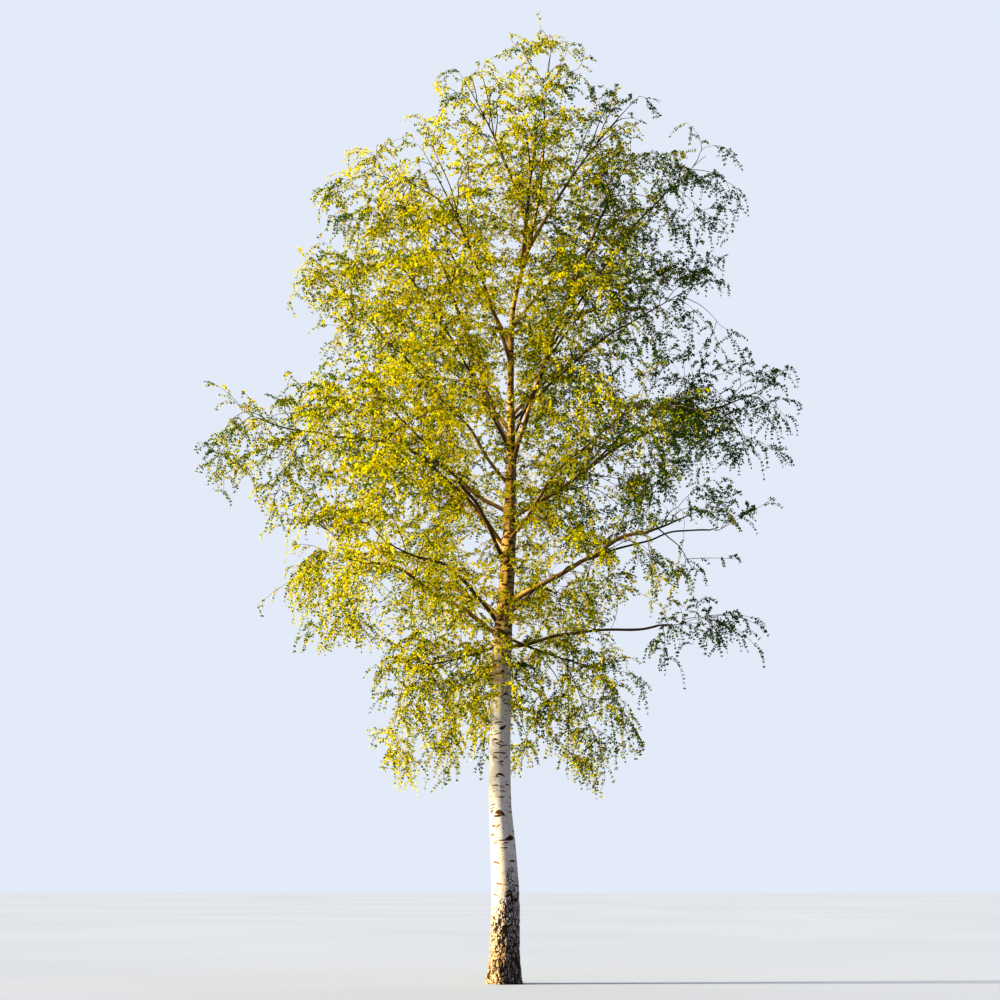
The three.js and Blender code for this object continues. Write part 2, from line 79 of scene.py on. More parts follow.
SEED = 1931
MASK = 0xFFFFFFFF
KEY_STEP = 0x9E3779B9
KEY_MIX = 0x85EBCA6B
LAST_MIX = 0xC2B2AE35
GRID_MIX = (374761393, 668265263, 69069)
GRID_LAST_MIX = 1274126177
FULL_TURN = 2 * math.pi
GOLDEN_ANGLE = math.pi * (3 - math.sqrt(5))
UP = np.array([0.0, 0.0, 1.0])
STEEP = 0.9
CLEARANCE = 0.0003
LENGTH_POINTS = 201
CANDIDATES = 7
PARALLEL = 1e-15
YOUNG_RADIUS = 0.012
OLDER_BY = 0.045
EYE: Place = (-0.083, -33.0, 1.555)
BARK_FORM = "bark_form"
# The mesh attribute that holds the trunk's painted-shade mask.
BARK_SHADE_SIDE = "bark_shade_side"
LIMB_FORM = "limb_form"

log = logging.getLogger("birch")


# Chance, noise and directions


class Draw(IntEnum):
    """What each series of random numbers is for. The first two are those of the tree's source."""

    TWIG_TURN = 1
    TWIG_ROOT = 2
    MASS_SPRAYS = 31
    BRANCHLETS = 32
    FINE_TWIGS = 33
    INNER_SPRAYS = 34
    BOUGH_CROOK = 41
    LIMB_SWAY = 51
    TINTS = 61
    LEAVES = 62
    STRAY_TINTS = 63
    SCAR_HEIGHT = 71
    SCAR_WIDTH = 72
    SCAR_SHORTER = 73
    SCAR_THICK = 74
    SCAR_BOLD = 75
    SCAR_TURN = 76
    SCAR_DROOP = 77
    SCAR_LEAN = 78


def chance(*keys: int) -> float:
    """Gives the number that belongs to some keys, as the tree's source does.

    Args:
        keys: Whole numbers that name what the number is for.

    Returns:
        A number from 0 to 1, the same for the same keys.
    """
    h = SEED
    for key in keys:
        h = ((h ^ ((key + KEY_STEP) & MASK)) * KEY_MIX) & MASK
        h ^= h >> 13
    h = (h * LAST_MIX) & MASK
    h ^= h >> 16
    return h / (MASK + 1)


def between(low: float, high: float, *keys: int) -> float:
    """A number between two others that depends only on the keys."""
    return low + (high - low) * chance(*keys)


def luck_of(*keys: int) -> Luck:
    """A source of many random numbers that depends only on the keys."""
    return np.random.default_rng(int(chance(*keys) * MASK))


def unit(vectors: Array) -> Array:
    """The vectors, each scaled to length one."""
    return vectors / np.maximum(norm(vectors, axis=-1, keepdims=True), 1e-12)


def ramp(values: Array, low: float, high: float) -> Array:
    """A smooth step from 0 at low to 1 at high."""
    t = np.clip((values - low) / (high - low), 0, 1)
    return t * t * (3 - 2 * t)


def thinned(share: float, amount: Array) -> Array:
    """What is left of 1 by an amount from 0 to 1, at which only a share is left."""
    return 1 - (1 - share) * amount


def angle_off(turn: Array, centre: float) -> Array:
    """How far round a limb places lie from a centre, up to half a turn either way."""
    return (turn - centre + math.pi) % FULL_TURN - math.pi


def level_way(turn: Array, reach: Array | float = 1.0) -> Array:
    """Level steps of some reach in the directions of some turns round the upright."""
    return np.stack([reach * np.cos(turn), reach * np.sin(turn), np.zeros_like(turn)], axis=-1)


def curve(a: Array, b: Array, c: Array, s: Array) -> Array:
    """The points at shares of the way from a to c on lines that bend towards b."""
    return a * (1 - s) ** 2 + b * 2 * s * (1 - s) + c * s * s


def curve_way(a: Array, b: Array, c: Array, s: Array) -> Array:
    """The directions in which such lines run there."""
    return unit((b - a) * (1 - s) + (c - b) * s)


def numbered(counts: Array) -> tuple[Array, Array]:
    """The bearer of each of the small things that the larger ones bear, and each one's own number there."""
    bearer = np.repeat(np.arange(len(counts)), counts)
    return bearer, np.arange(len(bearer)) - np.repeat(np.cumsum(counts) - counts, counts)


def well_apart(places: Array, count: int, luck: Luck) -> Array:
    """Picks some of the places so that they keep apart from each other.

    Args:
        places: The places to pick from, (n, 3).
        count: How many to pick.
        luck: The random numbers.

    Returns:
        The picked places, (count, 3).
    """
    kept = [places[0]]
    gaps = norm(places - kept[0], axis=1)
    for _ in range(count - 1):
        picks = luck.integers(0, len(places), CANDIDATES)
        best = places[picks[np.argmax(gaps[picks])]]
        kept.append(best)
        gaps = np.minimum(gaps, norm(places - best, axis=1))
    return np.array(kept)


@dataclass(frozen=True)
class SurfaceNoise:
    """Smooth noise on a limb's surface, in cells of one height, with no seam where it closes."""

    seed: int
    tall: float
    columns: int

    def corner(self, around: Array, up: Array) -> Array:
        """The noise at corners of its grid, from 0 to 1."""
        by_column, by_row, by_seed = GRID_MIX
        h = (around.astype(np.int64) * by_column + up.astype(np.int64) * by_row + self.seed * by_seed) & MASK
        h = ((h ^ (h >> 13)) * GRID_LAST_MIX) & MASK
        return ((h ^ (h >> 16)) & MASK) / MASK

    def at(self, turn: Array, along: Array) -> Array:
        """Gives the noise at places on the surface.

        Args:
            turn: The places round the limb, in radians.
            along: How far along it they lie.

        Returns:
            Numbers from 0 to 1.
        """
        x, y = (turn / FULL_TURN % 1.0) * self.columns, along / self.tall
        i, j = np.floor(x), np.floor(y)
        u, v = x - i, y - j
        u, v = u * u * (3 - 2 * u), v * v * (3 - 2 * v)
        left, right = i % self.columns, (i + 1) % self.columns
        low, high = (self.corner(left, row) * (1 - u) + self.corner(right, row) * u for row in (j, j + 1))
        return low * (1 - v) + high * v


# Meshes


@dataclass
class MeshWork:
    """The points and faces of a piece as they are gathered, each part with its own numbers for each point."""

    points: list[Array] = field(default_factory=list)
    faces: list[Array] = field(default_factory=list)
    forms: list[Array] = field(default_factory=list)
    count: int = 0

    def add(self, points: Array, faces: Array, form: Array | None = None) -> None:
        """Adds a part to the piece.

        Args:
            points: The part's points, (n, 3).
            faces: Its triangles as numbers of its points, (m, 3).
            form: Three numbers for each point, which its material reads.
        """
        self.points.append(points)
        self.faces.append(faces + self.count)
        self.forms.append(np.zeros_like(points) if form is None else form)
        self.count += len(points)

    def piece(self, name: str, material: Material, smooth: bool, form_name: str = "") -> Piece:
        """Makes the piece from what was added.

        Args:
            name: The piece's name.
            material: Its finish.
            smooth: Whether the light rounds its faces.
            form_name: The name under which the numbers of its points are kept, or none.

        Returns:
            The new object, in the scene.
        """
        points, faces = np.concatenate(self.points), np.concatenate(self.faces)
        mesh = bpy.data.meshes.new(name)
        mesh.vertices.add(len(points))
        mesh.vertices.foreach_set("co", points.astype(np.float32).ravel())
        mesh.loops.add(faces.size)
        mesh.loops.foreach_set("vertex_index", faces.astype(np.int32).ravel())
        mesh.polygons.add(len(faces))
        mesh.polygons.foreach_set("loop_start", np.arange(0, faces.size, 3, dtype=np.int32))
        mesh.update(calc_edges=True)
        if smooth:
            mesh.shade_smooth()
        else:
            mesh.shade_flat()
        if form_name:
            kept = mesh.attributes.new(form_name, "FLOAT_VECTOR", "POINT")
            kept.data.foreach_set("vector", np.concatenate(self.forms).astype(np.float32).ravel())
        mesh.materials.append(material)
        made = bpy.data.objects.new(name, mesh)
        bpy.context.scene.collection.objects.link(made)
        log.info("%s: %d triangles", name, len(faces))
        return made


def tube_faces(rings: int, sides: int) -> Array:
    """Gives the triangles of one closed tube.

    Args:
        rings: How many rings of points it has.
        sides: How many points each ring has.

    Returns:
        The triangles, (m, 3), with both ends closed.
    """
    faces = []
    for i in range(rings - 1):
        for k in range(sides):
            a, b = i * sides + k, i * sides + (k + 1) % sides
            faces += [(a, b, b + sides), (a, b + sides, a + sides)]
    last = (rings - 1) * sides
    for k in range(1, sides - 1):
        faces += [(0, k + 1, k), (last, last + k, last + k + 1)]
    return np.array(faces)


def tubes(lines: Array, radii: Array, sides: int) -> tuple[Array, Array, Array]:
    """Makes round tubes along many lines at once.

    Args:
        lines: The lines' points, (n, rings, 3).
        radii: The radius at each point, (n, rings), or (n, rings, sides) where it changes round the tube.
        sides: How many points each ring has.

    Returns:
        The points, (n * rings * sides, 3), the triangles, and each point's direction out of its line.
    """
    count, rings = lines.shape[:2]
    ways = unit(np.gradient(lines, axis=1))
    chord = unit(lines[:, -1] - lines[:, 0])
    level = np.where(np.abs(chord[:, 2:]) > STEEP, np.array([1.0, 0, 0]), UP)
    first = unit(np.cross(chord, level))[:, None, :]
    first = unit(first - np.sum(first * ways, axis=2, keepdims=True) * ways)
    second = np.cross(ways, first)
    turn = FULL_TURN * np.arange(sides) / sides
    out = first[:, :, None] * np.cos(turn)[:, None] + second[:, :, None] * np.sin(turn)[:, None]
    wide = radii if radii.ndim == 3 else radii[:, :, None]
    points = lines[:, :, None] + out * wide[..., None]
    faces = tube_faces(rings, sides)[None] + (np.arange(count) * rings * sides)[:, None, None]
    return points.reshape(-1, 3), faces.reshape(-1, 3), out.reshape(-1, 3)


@dataclass(frozen=True)
class Arc:
    """The middle lines of one limb or many: each leaves its start towards its bend and comes to its end."""

    start: Array
    bend: Array
    end: Array

    def rows(self, shares: Array) -> tuple[Array, ...]:
        """The three points and the shares of the way, shaped to give each limb a block with a row a share."""
        points = (point[..., None, :] for point in (self.start, self.bend, self.end))
        return (*points, np.asarray(shares, dtype=float)[..., None])

    def at(self, shares: Array) -> Array:
        """The points at some shares of the way, one row for each share, in a block for each limb."""
        return curve(*self.rows(shares))

    def ways(self, shares: Array) -> Array:
        """The directions in which the limb runs at some shares of the way."""
        return curve_way(*self.rows(shares))

    def picked(self, which: Array) -> "Arc":
        """The middle lines of some of the limbs."""
        return Arc(self.start[which], self.bend[which], self.end[which])

    def length(self) -> float:
        """The length of a single limb."""
        line = self.at(np.linspace(0, 1, LENGTH_POINTS))
        return float(np.sum(norm(np.diff(line, axis=0), axis=1)))


# The tree's plan


@dataclass(frozen=True)
class TrunkLine:
    """The trunk's middle line and radius, a smooth line through named heights."""

    rows: tuple[tuple[float, float, float, float], ...] = (
        (0.0, 0.0, 0.0, 0.268),
        (0.35, -0.002, 0.004, 0.248),
        (1.3, 0.005, 0.01, 0.23),
        (2.1, -0.026, 0.014, 0.207),
        (2.9, -0.078, 0.01, 0.181),
        (3.8, -0.086, 0.0, 0.171),
        (4.6, -0.063, -0.012, 0.164),
        (5.4, -0.045, -0.02, 0.15),
        (6.2, 0.008, -0.02, 0.134),
        (7.3, 0.074, -0.006, 0.112),
        (8.2, 0.102, 0.012, 0.09),
        (9.0, 0.104, 0.03, 0.066),
        (10.2, 0.1, 0.045, 0.052),
        (11.3, 0.15, 0.04, 0.042),
        (12.4, 0.42, 0.02, 0.033),
        (13.4, 0.61, 0.0, 0.024),
        (14.35, 0.69, -0.01, 0.017),
    )

    @property
    def tip(self) -> float:
        """The height of the trunk's tip."""
        return self.rows[-1][0]

    @property
    def tip_radius(self) -> float:
        """The trunk's radius at its tip."""
        return self.rows[-1][3]

    def at(self, heights: Array | float) -> tuple[Array, Array]:
        """Gives the trunk at some heights.

        Args:
            heights: The heights above the ground.

        Returns:
            The middle line's points and the radii there.
        """
        z = np.asarray(heights, dtype=float)
        rows = np.array(self.rows)
        i = np.clip(np.searchsorted(rows[:, 0], z, side="left") - 1, 0, len(rows) - 2)
        a, b = rows[i], rows[i + 1]
        before, after = rows[np.maximum(i - 1, 0)], rows[np.minimum(i + 2, len(rows) - 1)]
        span = (b - a)[..., :1]
        t = np.clip((z[..., None] - a[..., :1]) / span, 0, 1)
        slope_a = (b - before) / (b - before)[..., :1] * span
        slope_b = (after - a) / (after - a)[..., :1] * span
        ends = a * (1 + t * t * (2 * t - 3)) + b * t * t * (3 - 2 * t)
        row = ends + slope_a * t * (1 - t) ** 2 - slope_b * t * t * (1 - t)
        return np.concatenate([row[..., 1:3], z[..., None]], axis=-1), row[..., 3]


@dataclass(frozen=True)
class MassPlan:
    """One mass of foliage: where its middle lies, its round space, and where its limb starts.

    The azimuth is in degrees from +X towards +Y. A limb leaves the trunk at a height, or another mass's bough
    at a share of its length. Without a bough's radius the stem leaves the trunk itself.
    """

    name: str
    azimuth: float
    reach: float
    height: float
    spread: float
    tall: float
    starts: float
    thick: float = 0.0
    arch: float = 0.0
    weep: float = 0.55
    fill: float = 1.0
    on: str = ""

    @property
    def middle(self) -> Array:
        """The middle of the mass's round space."""
        azimuth = math.radians(self.azimuth)
        return np.array([self.reach * math.cos(azimuth), self.reach * math.sin(azimuth), self.height])


@dataclass(frozen=True)
class Twig:
    """A twig of a mass: its line, its radius at its root and the share of the stem at which it leaves."""

    line: Arc
    thick: float
    share: float


@dataclass
class FoliageMass:
    """A mass of foliage with the limbs that carry it."""

    plan: MassPlan
    index: int
    middle: Array
    root: Array = field(default_factory=lambda: np.zeros(3))
    bough: Arc | None = None
    stem: Arc | None = None
    stem_radius: float = 0.0
    twigs: list[Twig] = field(default_factory=list)

    def round_reach(self, ways: Array) -> Array:
        """The distance from the middle to the edge of the round space along some directions."""
        flat = (ways[..., 0] ** 2 + ways[..., 1] ** 2) / self.plan.spread**2
        return 1 / np.sqrt(flat + ways[..., 2] ** 2 / self.plan.tall**2)

    def depth_in(self, points: Array) -> Array:
        """How deep points lie in the round space: 0 in the middle, 1 at the edge, more outside it."""
        off = points - self.middle
        return norm(off, axis=-1) / self.round_reach(unit(off))


@dataclass
class CrownFrame:
    """The crown's limbs down to the twigs that the solids have, grown by the same rule.

    Its masses of foliage are planned from the top of the crown down to its hanging skirts.
    """

    line: TrunkLine
    plans: tuple[MassPlan, ...] = (
        MassPlan("top", 0, 0.78, 15.59, 1.06, 1.23, 14.35, weep=0.2),
        MassPlan("top_left", 186, 0.44, 15.2, 0.9, 1.08, 12.5, weep=0.3),
        MassPlan("top_right", 0, 1.98, 14.75, 0.88, 1.15, 12.3, weep=0.3),
        MassPlan("top_front", 298, 1.08, 14.05, 0.96, 1.1, 11.9),
        MassPlan("top_back", 66, 1.15, 14.15, 0.96, 1.1, 12.1),
        MassPlan("upper_left", 176, 2.12, 13.56, 1.3, 1.4, 8.75, 0.04, 0.08, fill=1.2),
        MassPlan("upper_mid_right", 332, 2.15, 13.0, 1.2, 1.32, 8.43, 0.05, 0.05),
        MassPlan("upper_right", 2, 3.3, 13.65, 1.08, 1.38, 0.42, 0.027, 0.05, on="upper_mid_right"),
        MassPlan("upper_front_left", 236, 1.85, 12.95, 1.25, 1.32, 10.3),
        MassPlan("upper_back_left", 124, 2.05, 12.95, 1.25, 1.3, 10.6),
        MassPlan("upper_back_right", 46, 2.35, 12.85, 1.28, 1.3, 10.9),
        MassPlan("high_left", 183, 2.82, 11.3, 1.32, 1.2, 8.12, 0.036, 0.03, 0.7),
        MassPlan("high_right", 1, 3.0, 11.3, 1.2, 1.3, 9.25, 0.031, 0.05, 0.7),
        MassPlan("high_front_left", 236, 2.48, 10.75, 1.42, 1.3, 8.65, 0.033, 0.05),
        MassPlan("high_front_right", 304, 2.48, 10.65, 1.42, 1.3, 8.95, 0.031, 0.05),
        MassPlan("high_back_left", 122, 2.55, 10.85, 1.42, 1.3, 9.1),
        MassPlan("high_back_right", 60, 2.6, 10.75, 1.42, 1.3, 9.35),
        MassPlan("wide_left", 192, 2.65, 9.25, 1.38, 1.25, 7.05, 0.038, 0.06),
        MassPlan("wide_left_tip", 179, 4.08, 9.05, 1.32, 1.4, 7.68, 0.042, 0.09, 0.7, 1.2),
        MassPlan("wide_right_tip", 1, 4.17, 9.45, 1.06, 1.4, 7.56, 0.042, 0.05, 0.7),
        MassPlan("wide_right", 350, 2.85, 9.3, 1.35, 1.3, 0.4, 0.027, 0.03, on="wide_right_tip"),
        MassPlan("wide_front_left", 238, 3.3, 8.6, 1.6, 1.35, 6.85, 0.044, 0.06),
        MassPlan("wide_front_right", 303, 3.3, 8.5, 1.6, 1.35, 7.2, 0.042, 0.06),
        MassPlan("wide_back_left", 120, 3.3, 8.7, 1.62, 1.35, 6.95, 0.044, 0.06),
        MassPlan("wide_back_right", 60, 3.3, 8.6, 1.62, 1.35, 7.3, 0.042, 0.06),
        MassPlan("low_left", 185, 3.25, 6.8, 1.33, 1.6, 5.56, 0.048, 0.07, 0.9, 1.2),
        MassPlan("low_front_left", 222, 2.6, 6.8, 1.32, 1.35, 5.7, 0.044, 0.12, 0.8),
        MassPlan("low_right", 350, 3.05, 7.35, 1.18, 1.05, 6.02, 0.06, 0.05),
        MassPlan("low_right_outer", 6, 4.13, 7.25, 0.96, 1.25, 0.56, 0.026, 0.04, 0.8, on="low_right"),
        MassPlan("low_front_right", 314, 2.5, 6.5, 1.28, 1.25, 0.34, 0.026, 0.02, 0.8, on="low_right"),
        MassPlan("low_right_tip", 14, 3.5, 5.72, 1.18, 0.96, 5.42, 0.04, 0.02, 0.8),
        MassPlan("low_back_left", 130, 2.7, 6.6, 1.35, 1.3, 5.85, 0.042, 0.08, 0.8),
        MassPlan("low_back_right", 62, 2.7, 6.5, 1.32, 1.3, 5.95, 0.042, 0.08, 0.8),
        MassPlan("skirt_left", 192, 1.38, 4.55, 1.0, 1.6, 5.48, weep=1.2),
        MassPlan("skirt_right", 350, 1.42, 4.5, 1.0, 1.65, 5.62, weep=1.2),
        MassPlan("skirt_back", 92, 1.5, 4.65, 0.98, 1.45, 5.3, weep=1.2),
    )
    bough_taper: float = 0.46
    bough_collar: float = 0.5
    bough_collar_length: float = 2.2
    bough_lift: float = 0.3
    bough_short: float = 0.72
    bough_crooked: float = 1.4
    crook_waves: tuple[int, ...] = (2, 3, 5, 8)
    stem_tip: float = 0.016
    stem_thick: float = 0.016
    stem_thickening: float = 0.006
    stem_rise: float = 0.2
    stem_bend: float = 0.5
    stem_onward: float = 0.42
    stem_lift: float = 0.3
    twig_count: int = 6
    twig_thick: float = 0.011
    twig_arch: float = 0.12
    twig_clear: float = 0.006
    twig_slim: float = 0.45
    twig_room: float = 0.45
    twig_room_rise: float = 0.2
    twig_shortest: float = 0.4
    twig_back: Span = (0.2, 0.4)
    twig_roots: Span = (0.08, 0.9)
    spray_length: float = 1.15
    trunk_points: int = 31
    bough_points: int = 6
    stem_points: int = 5

    def __post_init__(self) -> None:
        """Grows the limbs, from the boughs to the twigs."""
        self.masses = [FoliageMass(plan, index, plan.middle) for index, plan in enumerate(self.plans)]
        self.middles = np.array([mass.middle for mass in self.masses])
        self.spreads = np.array([mass.plan.spread for mass in self.masses])
        self.talls = np.array([mass.plan.tall for mass in self.masses])
        self.weeps = np.array([mass.plan.weep for mass in self.masses])
        for mass in self.masses:
            self.grow_bough(mass)
        for mass in self.masses:
            self.grow_stem(mass)
        self.gather_limbs()
        for mass in self.masses:
            self.grow_twigs(mass)

    def named(self, name: str) -> FoliageMass:
        """The mass with a name."""
        return next(mass for mass in self.masses if mass.plan.name == name)

    def foliage_nodes(self) -> list[str]:
        """The names of the solids that stand for the masses of foliage."""
        return [f"foliage_{mass.plan.name}" for mass in self.masses]

    def grow_bough(self, mass: FoliageMass) -> None:
        """Gives a mass its root on the trunk or on another bough, and its bough if it has one.

        Args:
            mass: The mass, with its middle in place.
        """
        plan = mass.plan
        root = self.named(plan.on).bough.at([plan.starts]) if plan.on else self.line.at(plan.starts)
        mass.root = root[0]
        if not plan.thick:
            return
        aim = mass.middle + UP * self.bough_lift * plan.tall
        way = unit(aim - mass.root)
        tip = aim - way * self.bough_short * mass.round_reach(way)
        bend = (mass.root + tip) / 2 + UP * 2 * plan.arch * norm(tip - mass.root)
        mass.bough = Arc(mass.root, bend, tip)

    def grow_stem(self, mass: FoliageMass) -> None:
        """Gives a mass its stem, which goes on from its bough or from the trunk and arches out through it.

        Args:
            mass: The mass, with its bough in place.
        """
        plan = mass.plan
        at_tip = plan.starts == self.line.tip
        start = mass.bough.end if mass.bough else mass.root
        way = mass.bough.ways([1.0])[0] if mass.bough else unit(mass.middle - start) + UP * self.stem_rise
        if at_tip:
            way = UP
        out = (mass.middle - start) * [1, 1, 0]
        out *= min(1.0, plan.spread / norm(out))
        end = mass.middle + out * self.stem_onward + UP * self.stem_lift * plan.tall
        far = norm(end - start)
        mass.stem_radius = self.stem_thick + self.stem_thickening * far
        if mass.bough:
            mass.stem_radius = plan.thick * self.bough_taper
        if at_tip:
            mass.stem_radius = self.line.tip_radius
        if mass.bough or at_tip:
            start = start + way * CLEARANCE
        mass.stem = Arc(start, start + way * self.stem_bend * far, end)

    def bough_radii(self, mass: FoliageMass, shares: Array) -> Array:
        """The radii of a mass's bough at shares of its length, with the collar at its root."""
        thick = mass.plan.thick
        collar = np.exp(-shares * mass.bough.length() / (self.bough_collar_length * thick))
        return thick * (1 + (self.bough_taper - 1) * shares + self.bough_collar * collar)

    def bough_crook(self, mass: FoliageMass, shares: Array) -> Array:
        """Gives how far a mass's bough strays from its smooth line, none at its ends.

        Args:
            mass: The mass.
            shares: The shares of the bough's length.

        Returns:
            The offsets there, (n, 3).
        """
        luck = luck_of(Draw.BOUGH_CROOK, mass.index)
        offsets = np.zeros((len(shares), 3))
        for waves in self.crook_waves:
            offsets += luck.normal(0, 1 / waves, 3) * np.sin(math.pi * waves * shares)[:, None]
        return offsets * self.bough_crooked * mass.plan.thick

    def bough_line(self, mass: FoliageMass, shares: Array) -> Array:
        """Gives the middle line of a mass's crooked bough.

        Args:
            mass: The mass.
            shares: The shares of the bough's length.

        Returns:
            The points there. The first lies on the crooked line of the bough that bears it.
        """
        line = mass.bough.at(shares) + self.bough_crook(mass, shares)
        if mass.plan.on:
            shift = self.bough_crook(self.named(mass.plan.on), np.array([mass.plan.starts]))
            line = line + shift * (1 - shares)[:, None]
        return line

    def gather_limbs(self) -> None:
        """Lists all the limbs as short straight stretches, which twigs of other masses keep clear of."""
        starts, ends, radii, owners = [], [], [], []

        def add(owner: int, points: Array, wide: Array) -> None:
            """Adds one limb's stretches to the lists, with the owner -1 where all masses keep clear of it."""
            starts.append(points[:-1])
            ends.append(points[1:])
            radii.append(np.maximum(wide[:-1], wide[1:]))
            owners.append(np.full(len(points) - 1, owner))

        add(-1, *self.line.at(self.line.tip * np.linspace(0, 1, self.trunk_points)))
        bough_shares = np.linspace(0, 1, self.bough_points)
        stem_shares = np.linspace(0, 1, self.stem_points)
        for mass in self.masses:
            if mass.bough:
                add(-1, mass.bough.at(bough_shares), self.bough_radii(mass, bough_shares))
            add(mass.index, mass.stem.at(stem_shares), np.full(self.stem_points, mass.stem_radius))
        self.limb_starts, self.limb_ends = np.concatenate(starts), np.concatenate(ends)
        self.limb_radii, self.limb_owners = np.concatenate(radii), np.concatenate(owners)

    def border_gaps(self, mass: FoliageMass, points: Array) -> Array:
        """Measures how far points lie on a mass's side of its flat borders with the others.

        Args:
            mass: The mass.
            points: The points, (n, 3).

        Returns:
            The distances, (n, masses), without end for the mass itself.
        """
        powers = np.sum((points[:, None] - self.middles) ** 2, axis=2) - self.spreads**2
        far = 2 * norm(self.middles - mass.middle, axis=1)
        far[mass.index] = 1.0
        gaps = (powers - powers[:, mass.index : mass.index + 1]) / far
        gaps[:, mass.index] = np.inf
        return gaps

    def in_own_space(self, mass: FoliageMass, points: Array, margin: float) -> Array:
        """Whether points lie in a mass's own space: its round space, within its borders by a margin."""
        inside = mass.depth_in(points) <= 1
        return inside & np.all(self.border_gaps(mass, points) > margin, axis=1)

    def own_reach(self, mass: FoliageMass, way: Array) -> float:
        """Measures how far a mass's own space reaches.

        Args:
            mass: The mass.
            way: A direction from its middle.

        Returns:
            The distance from its middle to the edge of its own space.
        """
        here, there = self.border_gaps(mass, np.array([mass.middle, mass.middle + way]))
        others = np.arange(len(self.masses)) != mass.index
        here, there = here[others], there[others]
        nearing = there < here
        borders = here[nearing] / (here[nearing] - there[nearing])
        return max(0.0, min([float(mass.round_reach(way)), *borders]))

    def clear_of_limbs(self, mass: FoliageMass, a: Array, b: Array, radius: float) -> bool:
        """Tests a straight stretch against the limbs of the trunk, the boughs and the other masses.

        Args:
            mass: The mass that the stretch belongs to.
            a: The stretch's start.
            b: Its end.
            radius: Its radius.

        Returns:
            True if it keeps clear of all of them.
        """
        theirs = self.limb_owners != mass.index
        c, d = self.limb_starts[theirs], self.limb_ends[theirs]
        u, v, w = b - a, d - c, a - c
        uu, vv, uv = u @ u, np.sum(v * v, axis=1), v @ u
        vw, uw = np.sum(v * w, axis=1), w @ u
        flat = uu * vv - uv**2
        near = np.where(flat > PARALLEL, np.clip((uv * vw - vv * uw) / np.maximum(flat, PARALLEL), 0, 1), 0)
        t = np.clip((uv * near + vw) / vv, 0, 1)
        s = np.clip((uv * t - uw) / uu, 0, 1)
        gaps = norm((a + s[:, None] * u) - (c + t[:, None] * v), axis=1)
        return bool(np.all(gaps > self.limb_radii[theirs] + radius + self.twig_clear))

    def grow_twigs(self, mass: FoliageMass) -> None:
        """Gives a mass the twigs that its solid has: from the stem, with one elbow, towards its space's edge.

        Args:
            mass: The mass, with its stem in place.
        """
        seed, stem = mass.index + 1, mass.stem
        count = round(self.twig_count * mass.plan.fill)
        run = stem.end - stem.start
        turn = FULL_TURN * chance(seed, Draw.TWIG_TURN)
        first_root, last_root = self.twig_roots
        for j in range(count):
            rise = 1 - 2 * (j + 0.5) / count
            ring, angle = math.sqrt(1 - rise * rise), turn + GOLDEN_ANGLE * j
            way = np.array([ring * math.cos(angle), ring * math.sin(angle), rise])
            reach = self.own_reach(mass, way)
            room = (self.twig_room + self.twig_room_rise * rise) * self.spray_length
            end = mass.middle + way * max(self.twig_shortest * reach, reach - room)
            along = (end - stem.start) @ run / (run @ run)
            share = along - between(*self.twig_back, seed, Draw.TWIG_ROOT, j)
            share = min(max(share, first_root), last_root)
            start = stem.at([share])[0]
            elbow = (start + end) / 2 + UP * self.twig_arch * norm(end - start)
            inside = self.in_own_space(mass, np.array([elbow, end]), self.twig_thick)
            clear = self.clear_of_limbs(mass, start, elbow, self.twig_thick)
            if not (inside.all() and clear and self.clear_of_limbs(mass, elbow, end, self.twig_thick)):
                continue
            thick = self.twig_slim * (mass.stem_radius + (self.stem_tip - mass.stem_radius) * share)
            line = Arc(start, 2 * elbow - (start + end) / 2, end)
            mass.twigs.append(Twig(line, min(self.twig_thick, thick), share))


# The finer growth


@dataclass
class Sprays:
    """The branchlets of the whole crown: each carries one spray of fine twigs and leaves."""

    arcs: Arc
    radii: Array
    weeps: Array

    @property
    def count(self) -> int:
        """How many branchlets there are."""
        return len(self.radii)


@dataclass
class FineTwigs:
    """The crown's fine hanging twigs, each with its branchlet and where along it the twig starts."""

    arcs: Arc
    lengths: Array
    sprays: Array
    shares: Array


@dataclass(frozen=True)
class Patch:
    """A fuller or more open part of the crown: where it lies, its size and its share of the usual growth."""

    x: float
    z: float
    half_width: float
    half_height: float
    share: float


